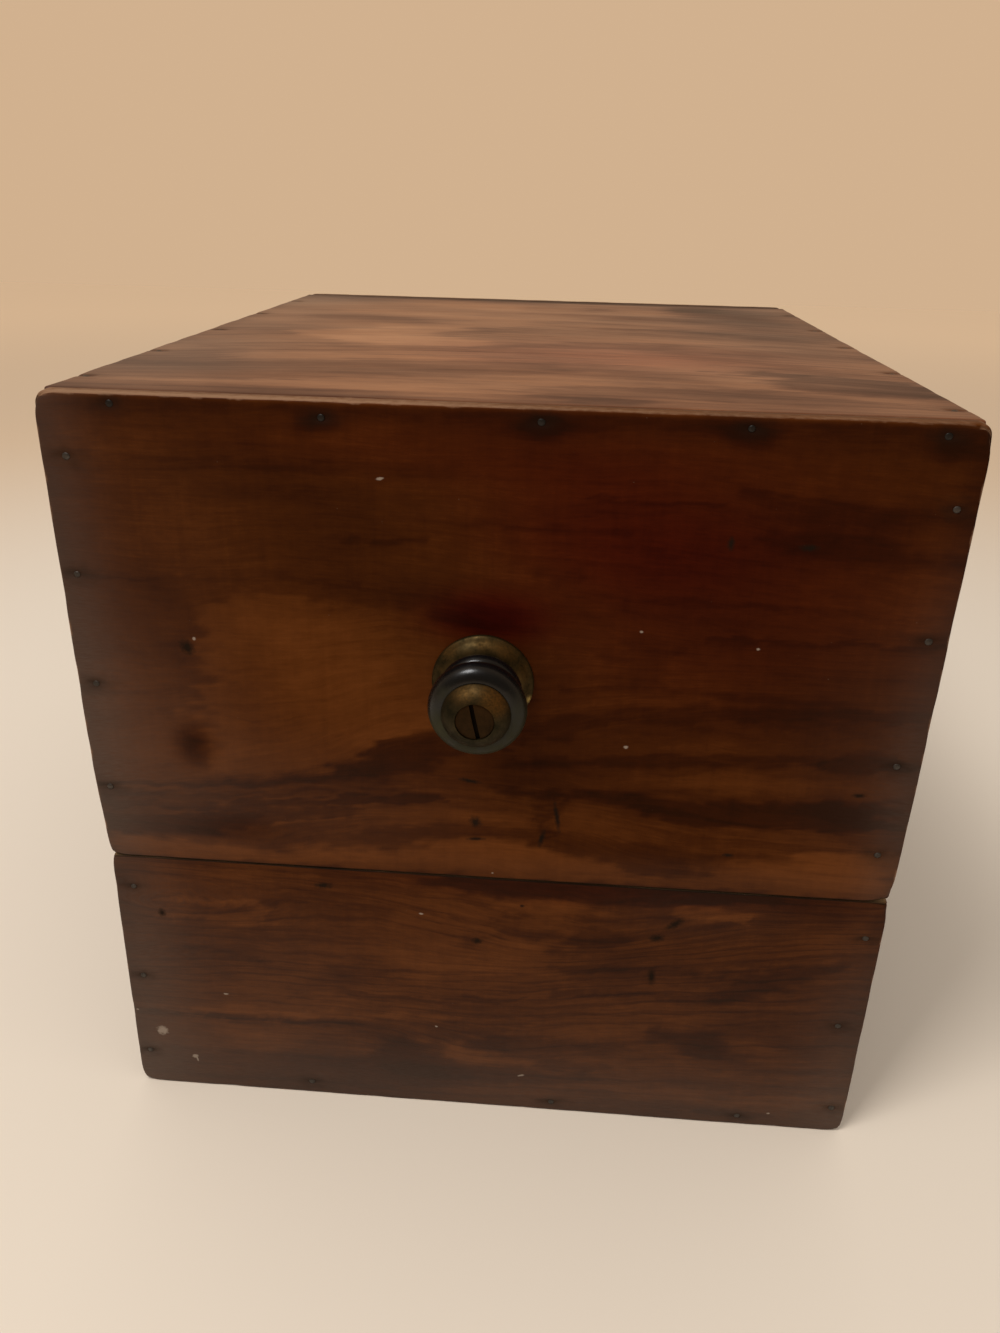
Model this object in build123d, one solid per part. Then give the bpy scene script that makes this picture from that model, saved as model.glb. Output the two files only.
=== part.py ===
from build123d import *
import os

# Old nailed pine box with a deep hinged lid and a turned knob, in millimetres.
# The origin is the centre of the underside, +Z is up and the front faces -Y.

# Closed box
box_width = 240.0
box_depth = 298.0
box_height = 236.0
cut_height = 94.6
cut_gap = 0.4

# Board thicknesses
front_thickness = 7.0
back_thickness = 7.0
side_thickness = 11.0
top_thickness = 7.0
bottom_thickness = 8.0

# Worn edges
top_corner_radius = 3.0
foot_corner_radius = 2.5
cut_corner_radius = 1.5
face_arris = 0.5
long_arris = 1.2

# Square cut brads
nail_head = 1.8
nail_tip = 0.8
nail_length = 30.0

# How far each nail row keeps from the ends of what it holds
lid_row_start = 20.5
lid_row_end = 19.0
base_row_start = 12.0
base_row_end = 12.8
top_row_start = 20.2
top_row_end = 10.9
bottom_row_start = 60.0
bottom_row_end = 35.0
face_row_start = 26.0
face_row_end = 44.0
face_row_outset = 1.9

# Strays of the hand-driven nails from even spacing, as (along, across) the row
lid_left_strays = [(4.2, -1.2), (4.7, -0.2), (3.8, -0.8), (2.4, 1.2)]
lid_right_strays = [(-4.0, 1.3), (-8.2, 1.3), (-4.1, -0.1), (-2.1, -0.1)]
lid_back_strays = [(1.5, 0.4), (-2.0, -0.9), (2.4, 0.7), (-1.0, -0.3)]
base_left_strays = [(2.1, -1.5), (0.0, -0.3), (1.0, 0.5)]
base_right_strays = [(-1.7, -0.9), (-1.3, 2.4), (-0.9, -0.5)]
base_back_strays = [(1.2, 0.6), (-2.1, -0.8), (0.6, 0.3)]
top_row_strays = [(0.0, 0.9), (2.2, -0.7), (5.5, 0.2), (4.9, 0.5), (0.0, 0.4)]
bottom_row_strays = [(0.0, 0.8), (9.8, -0.4), (0.0, -0.4)]
top_left_strays = [(0.0, -0.6), (-5.2, 0.1), (-3.4, 0.9), (-1.7, -0.5), (0.0, 0.0)]
top_right_strays = [(-6.5, 0.3), (-2.0, -0.3), (1.6, 0.4), (-2.2, 0.2), (1.0, -0.2)]
foot_left_strays = [(15.0, 0.3), (9.0, -0.4), (4.0, 0.5), (-2.0, -0.2), (1.0, 0.0)]
foot_right_strays = [(13.0, -0.2), (6.0, 0.4), (5.0, -0.3), (-1.0, 0.2), (-1.0, 0.1)]

# Turned knob on its rosette
knob_offset = -3.3
knob_above_cut = 66.2
rosette_radius = 14.2
rosette_flange = 1.3
rosette_dome_radius = 12.9
rosette_rise = 4.0
rosette_seat_radius = 9.2
neck_radius = 7.7
bead_radius = 11.1
bead_height = 6.8
bead_crest = 0.58
groove_radius = 8.6
groove_width = 0.6
ring_radius = 13.2
ring_shoulder_radius = 10.0
ring_height = 9.2
ring_crest = 0.6
cap_radius = 9.2
cap_edge = 0.4
cap_rise = 3.7
cap_bulge = 0.35
rosette_steps = 4
bead_steps = 5
ring_steps = 7
cap_steps = 3
bolt_radius = 2.4
bolt_hole_clearance = 0.2
bolt_head_radius = 5.0
bolt_head_height = 1.5
bolt_head_bevel = 0.3
bolt_head_clearance = 0.12
bolt_slot_width = 1.1
bolt_slot_depth = 0.9
bolt_slot_angle = 12.0
bolt_tail = 1.6
washer_radius = 6.0
washer_thickness = 1.0
nut_width = 8.6
nut_thickness = 3.2

# Butt hinges on the back
hinge_length = 38.0
hinge_inset = 28.0
leaf_reach = 13.0
leaf_thickness = 1.2
leaf_corner_radius = 1.2
barrel_radius = 2.2
barrel_standoff = 0.2
pin_radius = 1.1
pin_clearance = 0.05
knuckle_gap = 0.15
barrel_clearance = 0.35
middle_knuckle_length = 13.0
pin_overhang = 0.5

# Hinge screws
screw_head_radius = 2.2
screw_shank_radius = 1.2
screw_sides = 12
screw_cover = 1.0
screw_hole_clearance = 0.05
screw_slot_width = 0.6
screw_slot_depth = 0.5
screw_end_margin = 8.0
screw_edge_margin = 4.6

# Levels and faces that several pieces share
front_face = -box_depth / 2
back_face = box_depth / 2
front_inside = front_face + front_thickness
back_inside = back_face - back_thickness
side_middle = (box_width - side_thickness) / 2
lid_underside = cut_height + cut_gap / 2
base_rim = cut_height - cut_gap / 2
top_underside = box_height - top_thickness


def slab(x_span, y_span, z_span):
    """A plain board that fills three spans, each given as (low, high)."""
    size = [high - low for low, high in (x_span, y_span, z_span)]
    middle = [(high + low) / 2 for low, high in (x_span, y_span, z_span)]
    return Pos(*middle) * Box(*size)


def end_board(y_span, z_span, low_radius, high_radius, outer_side):
    """A front or back board with worn corners and a softened outer face."""
    board = slab((-box_width / 2, box_width / 2), y_span, z_span)
    board = fillet(board.edges().filter_by(Axis.Y).group_by(Axis.Z)[-1], high_radius)
    board = fillet(board.edges().filter_by(Axis.Y).group_by(Axis.Z)[0], low_radius)
    outer_face = board.faces().sort_by(Axis.Y)[0 if outer_side < 0 else -1]
    return chamfer(outer_face.outer_wire().edges(), face_arris)


def side_board(side, z_span):
    """A left (-1) or right (1) board between the front and back boards."""
    middle = side * side_middle
    x_span = (middle - side_thickness / 2, middle + side_thickness / 2)
    return slab(x_span, (front_inside, back_inside), z_span)


def flat_board(z_span, outer_group):
    """The top (-1) or bottom (0) board, softened along its two long outer edges."""
    board = slab((-box_width / 2, box_width / 2), (front_inside, back_inside), z_span)
    edges = board.edges().filter_by(Axis.Y).group_by(Axis.Z)[outer_group]
    return fillet(edges, long_arris)


# Nails
def brad():
    """One tapered square nail, head at the origin, driven along -Z."""
    head = Rectangle(nail_head, nail_head)
    tip = Pos(0, 0, -nail_length) * Rectangle(nail_tip, nail_tip)
    return loft([head, tip])


def spread(span, strays):
    """Even spacing over a span, with each nail's stray (along, across) from it."""
    first, last = span
    step = (last - first) / (len(strays) - 1)
    return [(first + i * step + along, across) for i, (along, across) in enumerate(strays)]


def end_nails(y_face, side_span, left_strays, right_strays, cross_span, cross_height, cross_strays):
    """Nails through a front or back board into both sides and the top or bottom."""
    places = []
    for side, strays in ((-1, left_strays), (1, right_strays)):
        places += [(side * (side_middle - across), along) for along, across in spread(side_span, strays)]
    places += [(along, cross_height + across) for along, across in spread(cross_span, cross_strays)]
    tilt = 90 if y_face < 0 else -90
    return [Pos(x, y_face, z) * Rot(tilt, 0, 0) * brad() for x, z in places]


def face_nails(z_face, left_strays, right_strays):
    """Nails through the top or bottom board into both side boards."""
    span = (front_face + face_row_start, back_face - face_row_end)
    tilt = 180 if z_face == 0 else 0
    nails = []
    for side, strays in ((-1, left_strays), (1, right_strays)):
        for along, across in spread(span, strays):
            place = Pos(side * (side_middle + face_row_outset - across), along, z_face)
            nails.append(place * Rot(tilt, 0, 0) * brad())
    return nails


lid_side_span = (cut_height + lid_row_start, box_height - lid_row_end)
base_side_span = (base_row_start, cut_height - base_row_end)
top_cross_span = (-box_width / 2 + top_row_start, box_width / 2 - top_row_end)
bottom_cross_span = (-box_width / 2 + bottom_row_start, box_width / 2 - bottom_row_end)
top_edge_middle = box_height - top_thickness / 2
bottom_edge_middle = bottom_thickness / 2

lid_front_nails = end_nails(
    front_face, lid_side_span, lid_left_strays, lid_right_strays,
    top_cross_span, top_edge_middle, top_row_strays,
)
lid_back_nails = end_nails(
    back_face, lid_side_span, lid_back_strays, lid_back_strays[::-1],
    top_cross_span, top_edge_middle, top_row_strays[::-1],
)
lid_top_nails = face_nails(box_height, top_left_strays, top_right_strays)
base_front_nails = end_nails(
    front_face, base_side_span, base_left_strays, base_right_strays,
    bottom_cross_span, bottom_edge_middle, bottom_row_strays,
)
base_back_nails = end_nails(
    back_face, base_side_span, base_back_strays, base_back_strays[::-1],
    bottom_cross_span, bottom_edge_middle, bottom_row_strays[::-1],
)
base_bottom_nails = face_nails(0, foot_left_strays, foot_right_strays)


# Knob, drawn as (radius, distance out of the board) and turned about its bolt
knob_centre = (knob_offset, front_face, cut_height + knob_above_cut)
knob_plane = Plane(origin=knob_centre, x_dir=(1, 0, 0), z_dir=(0, -1, 0))
body_foot = rosette_rise
bead_top = body_foot + bead_height
ring_foot = bead_top + groove_width
ring_top = ring_foot + ring_height
cap_top = ring_top + cap_edge + cap_rise
bolt_head_seat = cap_top - bolt_head_height
bolt_hole_radius = bolt_radius + bolt_hole_clearance


def turned(*lines):
    """A solid of revolution about the knob's bolt, set on the front board."""
    profile = Plane.XZ * make_face(Curve() + list(lines))
    return knob_plane.location * revolve(profile, Axis.Z)


def swelling(start, crest, end, steps):
    """A rounded form through three points, as short straight cuts."""
    arc = ThreePointArc(start, crest, end)
    return Polyline(*[arc @ (step / steps) for step in range(steps + 1)])


def knob_rosette():
    """Brass backplate: thin flange, fine groove, then a dome up to the neck's seat."""
    hole = (bolt_hole_radius, 0)
    rim = (rosette_radius, 0)
    lip = (rosette_radius, rosette_flange * 0.7)
    shoulder = (rosette_radius - rosette_flange * 0.3, rosette_flange)
    groove = (rosette_dome_radius, rosette_flange * 0.8)
    crest = ((rosette_dome_radius + rosette_seat_radius) / 2 + 0.6, rosette_rise * 0.75)
    seat = (rosette_seat_radius, rosette_rise)
    mouth = (bolt_hole_radius, rosette_rise)
    return turned(
        Line(hole, rim),
        Line(rim, lip),
        Line(lip, shoulder),
        Line(shoulder, groove),
        swelling(groove, crest, seat, rosette_steps),
        Line(seat, mouth),
        Line(mouth, hole),
    )


def knob_body():
    """Black turned body: neck, small bead, groove and the large rolled ring."""
    foot = (bolt_hole_radius, body_foot)
    neck_low = (neck_radius, body_foot)
    neck_high = (neck_radius, body_foot + bead_height * 0.15)
    bead = (bead_radius, body_foot + bead_height * bead_crest)
    bead_end = (groove_radius, bead_top)
    groove_end = (groove_radius, ring_foot)
    ring_start = (ring_shoulder_radius, ring_foot + ring_height * 0.13)
    ring = (ring_radius, ring_foot + ring_height * ring_crest)
    ring_end = (cap_radius, ring_top)
    mouth = (bolt_hole_radius, ring_top)
    return turned(
        Line(foot, neck_low),
        Line(neck_low, neck_high),
        swelling(neck_high, bead, bead_end, bead_steps),
        Line(bead_end, groove_end),
        Line(groove_end, ring_start),
        swelling(ring_start, ring, ring_end, ring_steps),
        Line(ring_end, mouth),
        Line(mouth, foot),
    )


def knob_cap():
    """Brass nose cap, gently domed, with a pocket for the bolt's head."""
    pocket_radius = bolt_head_radius + bolt_head_clearance
    foot = (bolt_hole_radius, ring_top)
    rim = (cap_radius, ring_top)
    lip = (cap_radius, ring_top + cap_edge)
    crest = ((cap_radius + pocket_radius) / 2 + cap_bulge, ring_top + cap_edge + cap_rise / 2 + cap_bulge)
    brink = (pocket_radius, cap_top)
    corner = (pocket_radius, bolt_head_seat)
    mouth = (bolt_hole_radius, bolt_head_seat)
    return turned(
        Line(foot, rim),
        Line(rim, lip),
        swelling(lip, crest, brink, cap_steps),
        Line(brink, corner),
        Line(corner, mouth),
        Line(mouth, foot),
    )


def knob_bolt():
    """Slotted bolt with a low bevelled head, through the knob and the board."""
    tail = -(front_thickness + washer_thickness + nut_thickness + bolt_tail)
    bolt = turned(
        Polyline(
            (0, tail),
            (bolt_radius, tail),
            (bolt_radius, bolt_head_seat),
            (bolt_head_radius, bolt_head_seat),
            (bolt_head_radius, cap_top - bolt_head_bevel),
            (bolt_head_radius - bolt_head_bevel, cap_top),
            (0, cap_top),
            close=True,
        )
    )
    slot = Box(bolt_slot_width, bolt_head_radius * 3, bolt_slot_depth * 2)
    slot = knob_plane.location * Pos(0, 0, cap_top) * Rot(0, 0, bolt_slot_angle) * slot
    return bolt - slot


def inside_ring(outline, start, thickness):
    """A washer or nut on the bolt, inside the lid's front board."""
    blank = extrude(outline, thickness) - extrude(Circle(bolt_hole_radius), thickness)
    return knob_plane.location * Pos(0, 0, -start - thickness) * blank


knob_washer = inside_ring(Circle(washer_radius), front_thickness, washer_thickness)
knob_nut = inside_ring(
    Rot(0, 0, bolt_slot_angle) * Rectangle(nut_width, nut_width),
    front_thickness + washer_thickness,
    nut_thickness,
)
bolt_hole = Pos(0, 0, -front_thickness / 2) * Cylinder(bolt_hole_radius, front_thickness * 2)
bolt_hole = knob_plane.location * bolt_hole


# Hinges
hinge_centre = box_width / 2 - hinge_inset - hinge_length / 2
outer_knuckle_length = (hinge_length - middle_knuckle_length) / 2


def barrel(centre, length, radius):
    """A round bar along the hinge axis."""
    place = Pos(centre, back_face + barrel_standoff + barrel_radius, cut_height)
    return place * Rot(0, 90, 0) * Cylinder(radius, length)


def screw_axis(x, z):
    """The plane of a screw's head on a leaf, facing out of the back."""
    return Plane(origin=(x, back_face + leaf_thickness, z), x_dir=(-1, 0, 0), z_dir=(0, 1, 0)).location


def screw_head(grown):
    """A countersunk head as deep as the leaf is thick, grown all round for its hole."""
    face = RegularPolygon(screw_head_radius + grown, screw_sides)
    neck = Pos(0, 0, -leaf_thickness) * RegularPolygon(screw_shank_radius + grown, screw_sides)
    return loft([face, neck])


def hinge_screw(x, z, turn):
    """Countersunk slotted wood screw with a blunt shank, head flush with the leaf."""
    length = back_thickness - screw_cover
    shank = extrude(RegularPolygon(screw_shank_radius, screw_sides), -length)
    shank = Pos(0, 0, -leaf_thickness) * shank
    slot = Box(screw_slot_width, screw_head_radius * 3, screw_slot_depth * 2)
    screw = screw_head(0) + shank - Rot(0, 0, turn) * slot
    return screw_axis(x, z) * screw


def screw_places(centre, way):
    """Two staggered screws in a leaf that reaches up (1) or down (-1)."""
    reach = leaf_reach - screw_edge_margin
    along = hinge_length / 2 - screw_end_margin
    return [(centre + side * along, cut_height + way * reach) for side in (-1, 1)]


def leaf_plate(centre, way):
    """The flat of a leaf, from the pin's level to its far edge."""
    low, high = sorted((cut_height, cut_height + way * leaf_reach))
    x_span = (centre - hinge_length / 2, centre + hinge_length / 2)
    plate = slab(x_span, (back_face, back_face + leaf_thickness), (low, high))
    far_corners = plate.edges().filter_by(Axis.Y).group_by(Axis.Z)[-1 if way > 0 else 0]
    return fillet(far_corners, leaf_corner_radius)


def hinge_leaf(centre, way):
    """A lid leaf (1) with the middle knuckle, or a base leaf (-1) with the outer two."""
    shift = (middle_knuckle_length + outer_knuckle_length) / 2
    middle = barrel(centre, middle_knuckle_length - knuckle_gap, barrel_radius)
    outer = [
        barrel(centre + side * shift, outer_knuckle_length - knuckle_gap, barrel_radius)
        for side in (-1, 1)
    ]
    notch_radius = barrel_radius + barrel_clearance
    if way > 0:
        knuckles = [middle]
        notches = [
            barrel(centre + side * (shift + knuckle_gap), outer_knuckle_length + knuckle_gap, notch_radius)
            for side in (-1, 1)
        ]
    else:
        knuckles = outer
        notches = [barrel(centre, middle_knuckle_length + knuckle_gap, notch_radius)]
    leaf = leaf_plate(centre, way) - notches + knuckles
    leaf -= barrel(centre, hinge_length * 2, pin_radius + pin_clearance)
    return leaf - [screw_axis(x, z) * screw_head(screw_hole_clearance) for x, z in screw_places(centre, way)]


def hinge_pin(centre):
    """A plain pin that stands a little out of both ends of the barrel."""
    return barrel(centre, hinge_length + 2 * pin_overhang, pin_radius)


def leaf_screws(way):
    """All four screws of the two leaves on one part of the box."""
    screws = []
    for side in (-1, 1):
        for x, z in screw_places(side * hinge_centre, way):
            slot_turn = 25 + x + 40 * way
            screws.append(hinge_screw(x, z, slot_turn))
    return screws


lid_hinge_screws = leaf_screws(1)
base_hinge_screws = leaf_screws(-1)

# Boards, each with the holes of the nails, screws and bolt that pass through it
lid_fixings = lid_front_nails + lid_back_nails + lid_top_nails + lid_hinge_screws
base_fixings = base_front_nails + base_back_nails + base_bottom_nails + base_hinge_screws

lid_boards = {
    "lid_front_board": end_board(
        (front_face, front_inside), (lid_underside, box_height), cut_corner_radius, top_corner_radius, -1
    )
    - bolt_hole,
    "lid_back_board": end_board(
        (back_inside, back_face), (lid_underside, box_height), cut_corner_radius, top_corner_radius, 1
    ),
    "lid_left_side": side_board(-1, (lid_underside, top_underside)),
    "lid_right_side": side_board(1, (lid_underside, top_underside)),
    "lid_top_board": flat_board((top_underside, box_height), -1),
}
base_boards = {
    "base_front_board": end_board(
        (front_face, front_inside), (0, base_rim), foot_corner_radius, cut_corner_radius, -1
    ),
    "base_back_board": end_board(
        (back_inside, back_face), (0, base_rim), foot_corner_radius, cut_corner_radius, 1
    ),
    "base_left_side": side_board(-1, (bottom_thickness, base_rim)),
    "base_right_side": side_board(1, (bottom_thickness, base_rim)),
    "base_bottom_board": flat_board((0, bottom_thickness), 0),
}

nodes = {name: board - lid_fixings for name, board in lid_boards.items()}
nodes.update({name: board - base_fixings for name, board in base_boards.items()})
nodes.update({
    "lid_front_nails": lid_front_nails,
    "lid_back_nails": lid_back_nails,
    "lid_top_nails": lid_top_nails,
    "base_front_nails": base_front_nails,
    "base_back_nails": base_back_nails,
    "base_bottom_nails": base_bottom_nails,
    "knob_rosette": knob_rosette(),
    "knob_body": knob_body(),
    "knob_cap": knob_cap(),
    "knob_bolt": knob_bolt(),
    "knob_washer": knob_washer,
    "knob_nut": knob_nut,
    "lid_hinge_screws": lid_hinge_screws,
    "base_hinge_screws": base_hinge_screws,
})
for side, name in ((-1, "left"), (1, "right")):
    nodes[f"{name}_hinge_lid_leaf"] = hinge_leaf(side * hinge_centre, 1)
    nodes[f"{name}_hinge_base_leaf"] = hinge_leaf(side * hinge_centre, -1)
    nodes[f"{name}_hinge_pin"] = hinge_pin(side * hinge_centre)

# One STEP file for each node
os.makedirs("parts", exist_ok=True)
for name, shape in nodes.items():
    solids = shape if isinstance(shape, list) else [shape]
    pieces = [solid for item in solids for solid in item.solids()]
    whole = pieces[0] if len(pieces) == 1 else Compound(children=pieces)
    export_step(whole, f"parts/{name}.step")
    print(name, len(pieces), "solids,", round(sum(piece.volume for piece in pieces), 1), "mm3")
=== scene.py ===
import math
import bmesh
import bpy
import numpy as np
from mathutils import Matrix, Vector


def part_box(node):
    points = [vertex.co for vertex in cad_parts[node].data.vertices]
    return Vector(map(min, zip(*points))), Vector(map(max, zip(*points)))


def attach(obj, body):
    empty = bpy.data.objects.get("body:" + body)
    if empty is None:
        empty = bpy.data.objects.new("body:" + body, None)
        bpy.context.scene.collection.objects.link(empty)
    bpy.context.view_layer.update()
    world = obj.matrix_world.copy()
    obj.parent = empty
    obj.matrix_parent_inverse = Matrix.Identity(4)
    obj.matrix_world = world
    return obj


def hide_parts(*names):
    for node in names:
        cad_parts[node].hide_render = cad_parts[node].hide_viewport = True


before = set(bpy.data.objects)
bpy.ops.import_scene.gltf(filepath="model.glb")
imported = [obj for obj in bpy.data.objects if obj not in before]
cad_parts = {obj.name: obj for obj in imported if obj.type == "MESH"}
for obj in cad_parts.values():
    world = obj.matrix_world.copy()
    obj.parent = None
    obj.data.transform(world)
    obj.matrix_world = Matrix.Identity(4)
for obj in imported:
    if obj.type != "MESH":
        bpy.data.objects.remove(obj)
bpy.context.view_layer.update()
mm = 0.001  # pieces are worked out in millimetres and made in metres
print("stage: frame loaded,", len(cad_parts), "CAD nodes")

# node helpers: they add to the tree that startTree was given last
wiring = {"tree": None}


def startTree(tree):
    wiring["tree"] = tree
    tree.nodes.clear()
    return tree


def node(kind, inputs=None, **settings):
    made = wiring["tree"].nodes.new(kind)
    for key, value in settings.items():
        setattr(made, key, value)
    for key, value in (inputs or {}).items():
        socket = made.inputs[key]
        if isinstance(value, bpy.types.Node):
            value = value.outputs[0]
        if isinstance(value, bpy.types.NodeSocket):
            wiring["tree"].links.new(value, socket)
        elif socket.type == "RGBA" and len(value) == 3:
            socket.default_value = (*value, 1.0)
        else:
            socket.default_value = value
    return made


def attribute(name, output="Fac"):
    return node("ShaderNodeAttribute", attribute_name=name).outputs[output]


def objectPlace():
    return node("ShaderNodeTexCoord").outputs["Object"]


def maths(operation, *values, clamp=False):
    total = values[0]
    for value in values[1:]:
        total = node("ShaderNodeMath", {0: total, 1: value}, operation=operation, use_clamp=clamp)
    return total


def plus(*values, clamp=False):
    return maths("ADD", *values, clamp=clamp)


def times(*values, clamp=False):
    return maths("MULTIPLY", *values, clamp=clamp)


def swing(value, amount, middle=0.5):
    # the value's swing about its middle, times an amount
    return times(maths("SUBTRACT", value, middle), amount)


def span(value, low, high, toLow=0.0, toHigh=1.0):
    inputs = {"Value": value, "From Min": low, "From Max": high, "To Min": toLow, "To Max": toHigh}
    return node("ShaderNodeMapRange", inputs)


def lengthOf(vector):
    return node("ShaderNodeVectorMath", {0: vector}, operation="LENGTH").outputs["Value"]


def noise(vector, scale, detail=2.0, roughness=0.5):
    if isinstance(scale, tuple):  # one scale for each axis
        vector, scale = node("ShaderNodeVectorMath", {0: vector, 1: scale}, operation="MULTIPLY"), 1.0
    inputs = {"Vector": vector, "Scale": scale, "Detail": detail, "Roughness": roughness}
    return node("ShaderNodeTexNoise", inputs)


def mix(factor, first, second, blend="MIX"):
    inputs = {0: factor, 6: first, 7: second}
    return node("ShaderNodeMix", inputs, data_type="RGBA", blend_type=blend).outputs[2]


def ramp(value, stops, interpolation="LINEAR"):
    # stops: (place, colour or grey value)
    made = node("ShaderNodeValToRGB", {"Fac": value})
    made.color_ramp.interpolation = interpolation
    elements = made.color_ramp.elements
    while len(elements) < len(stops):
        elements.new(0.5)
    for element, (place, colour) in zip(elements, stops):
        element.position = place
        element.color = (*(colour if isinstance(colour, tuple) else [colour] * 3), 1.0)
    return made


def newMaterial(name):
    made = bpy.data.materials.new(name)
    made.use_nodes = True
    startTree(made.node_tree)
    return made


def closeMaterial(inputs, height=None, depth=0.0, strength=1.0):
    if height is not None:
        bump = node("ShaderNodeBump", {"Height": height, "Distance": depth, "Strength": strength})
        inputs = {**inputs, "Normal": bump, "Coat Normal": bump}
    node("ShaderNodeOutputMaterial", {"Surface": node("ShaderNodeBsdfPrincipled", inputs)})


# mesh and object helpers
def addObject(name, data):
    made = bpy.data.objects.new(name, data)
    bpy.context.collection.objects.link(made)
    return made


def smooth(mesh, sharp=None):
    mesh.polygons.foreach_set("use_smooth", np.ones(len(mesh.polygons), bool))
    if sharp:
        mesh.set_sharp_from_angle(angle=math.radians(sharp))


def storeAttribute(mesh, name, values):
    kind, part = ("FLOAT_VECTOR", "vector") if values.ndim == 2 else ("FLOAT", "value")
    mesh.attributes.new(name, kind, "POINT").data.foreach_set(part, values.astype(np.float32).ravel())


def evaluatedMesh(holder):
    # the finished mesh of an object with its modifiers, and the object gone
    shown = holder.evaluated_get(bpy.context.evaluated_depsgraph_get())
    mesh = bpy.data.meshes.new_from_object(shown)
    bpy.data.objects.remove(holder)
    return mesh


def showPiece(name, mesh, body, slotName, material, *nodes):
    mesh.materials.clear()
    mesh.materials.append(material)
    piece = addObject(name, mesh)
    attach(piece, body)
    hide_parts(*nodes)


# floor, light and camera
studio = {
    "fade": [  # metres from the middle and the floor's colour there: it goes over to the wall's
        (0.36, (0.82, 0.70, 0.57)), (1.10, (0.79, 0.575, 0.385)), (2.60, (0.985, 0.692, 0.437)),
    ],
    "floorReach": 3.0, "floorRoughness": 0.9, "floorShine": 0.2,
    "wall": (0.64, 0.44, 0.275), "sky": (0.93, 0.90, 0.86), "skyStrength": 0.70,
    "dimRoom": 0.30, "dimFrom": -0.6, "dimTo": 0.2,  # reflections see a dimmer room on the camera's side
    "lampPlace": (-0.42, -0.55, 1.25), "lampAim": (0.0, 0.0, 0.12), "lampSize": 0.38, "lampPower": 8.5,
    "cameraPlace": (0.0175336, -0.4049895, 0.2831454),
    "cameraForward": (-0.05735729, 0.90738774, -0.41636238),
    "cameraUp": (-0.05063765, 0.41386801, 0.90892745),
    "lens": 27.645, "sensor": 36.0, "clipStart": 0.01,
}


def makeFloor():
    reach = studio["floorReach"]
    mesh = bpy.data.meshes.new("floor")
    corners = [(x * reach, y * reach, 0) for x, y in ((-1, -1), (1, -1), (1, 1), (-1, 1))]
    mesh.from_pydata(corners, [], [(0, 1, 2, 3)])
    mesh.materials.append(newMaterial("paleFloor"))
    away = maths("DIVIDE", lengthOf(objectPlace()), reach)
    paint = ramp(away, [(far / reach, shade) for far, shade in studio["fade"]], "EASE")
    rough, shine = studio["floorRoughness"], studio["floorShine"]
    closeMaterial({"Base Color": paint, "Roughness": rough, "Specular IOR Level": shine})
    addObject("floor", mesh)


def makeWorld():
    world = bpy.data.worlds.new("studio")
    bpy.context.scene.world = world
    world.use_nodes = True
    startTree(world.node_tree)
    rays = node("ShaderNodeLightPath").outputs
    seen = plus(*(rays[f"Is {kind} Ray"] for kind in ("Camera", "Glossy", "Transmission")), clamp=True)
    light = node("ShaderNodeBackground", {"Color": studio["sky"], "Strength": studio["skyStrength"]})
    facing = node("ShaderNodeSeparateXYZ", {0: node("ShaderNodeTexCoord").outputs["Generated"]}).outputs["Y"]
    dim = span(facing, studio["dimFrom"], studio["dimTo"], studio["dimRoom"], 1.0)
    dim = maths("MAXIMUM", rays["Is Camera Ray"], dim)
    wall = node("ShaderNodeBackground", {"Color": studio["wall"], "Strength": dim})
    node("ShaderNodeOutputWorld", {"Surface": node("ShaderNodeMixShader", {0: seen, 1: light, 2: wall})})


def makeLampAndCamera():
    data = bpy.data.lights.new("softLamp", "AREA")
    data.shape, data.size, data.energy = "SQUARE", studio["lampSize"], studio["lampPower"]
    lamp = addObject("softLamp", data)
    lamp.location = studio["lampPlace"]
    way = Vector(studio["lampAim"]) - Vector(studio["lampPlace"])
    lamp.rotation_euler = way.to_track_quat("-Z", "Y").to_euler()

    data = bpy.data.cameras.new("camera")
    data.lens, data.sensor_width, data.clip_start = studio["lens"], studio["sensor"], studio["clipStart"]
    camera = addObject("camera", data)
    forward, up = Vector(studio["cameraForward"]), Vector(studio["cameraUp"])
    turn = Matrix((forward.cross(up), up, -forward)).transposed()
    camera.matrix_world = Matrix.Translation(studio["cameraPlace"]) @ turn.to_4x4()
    bpy.context.scene.camera = camera
    bpy.context.scene.view_settings.view_transform = "Standard"


makeFloor()
makeWorld()
makeLampAndCamera()
print("stage: floor, lamps and camera")

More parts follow.
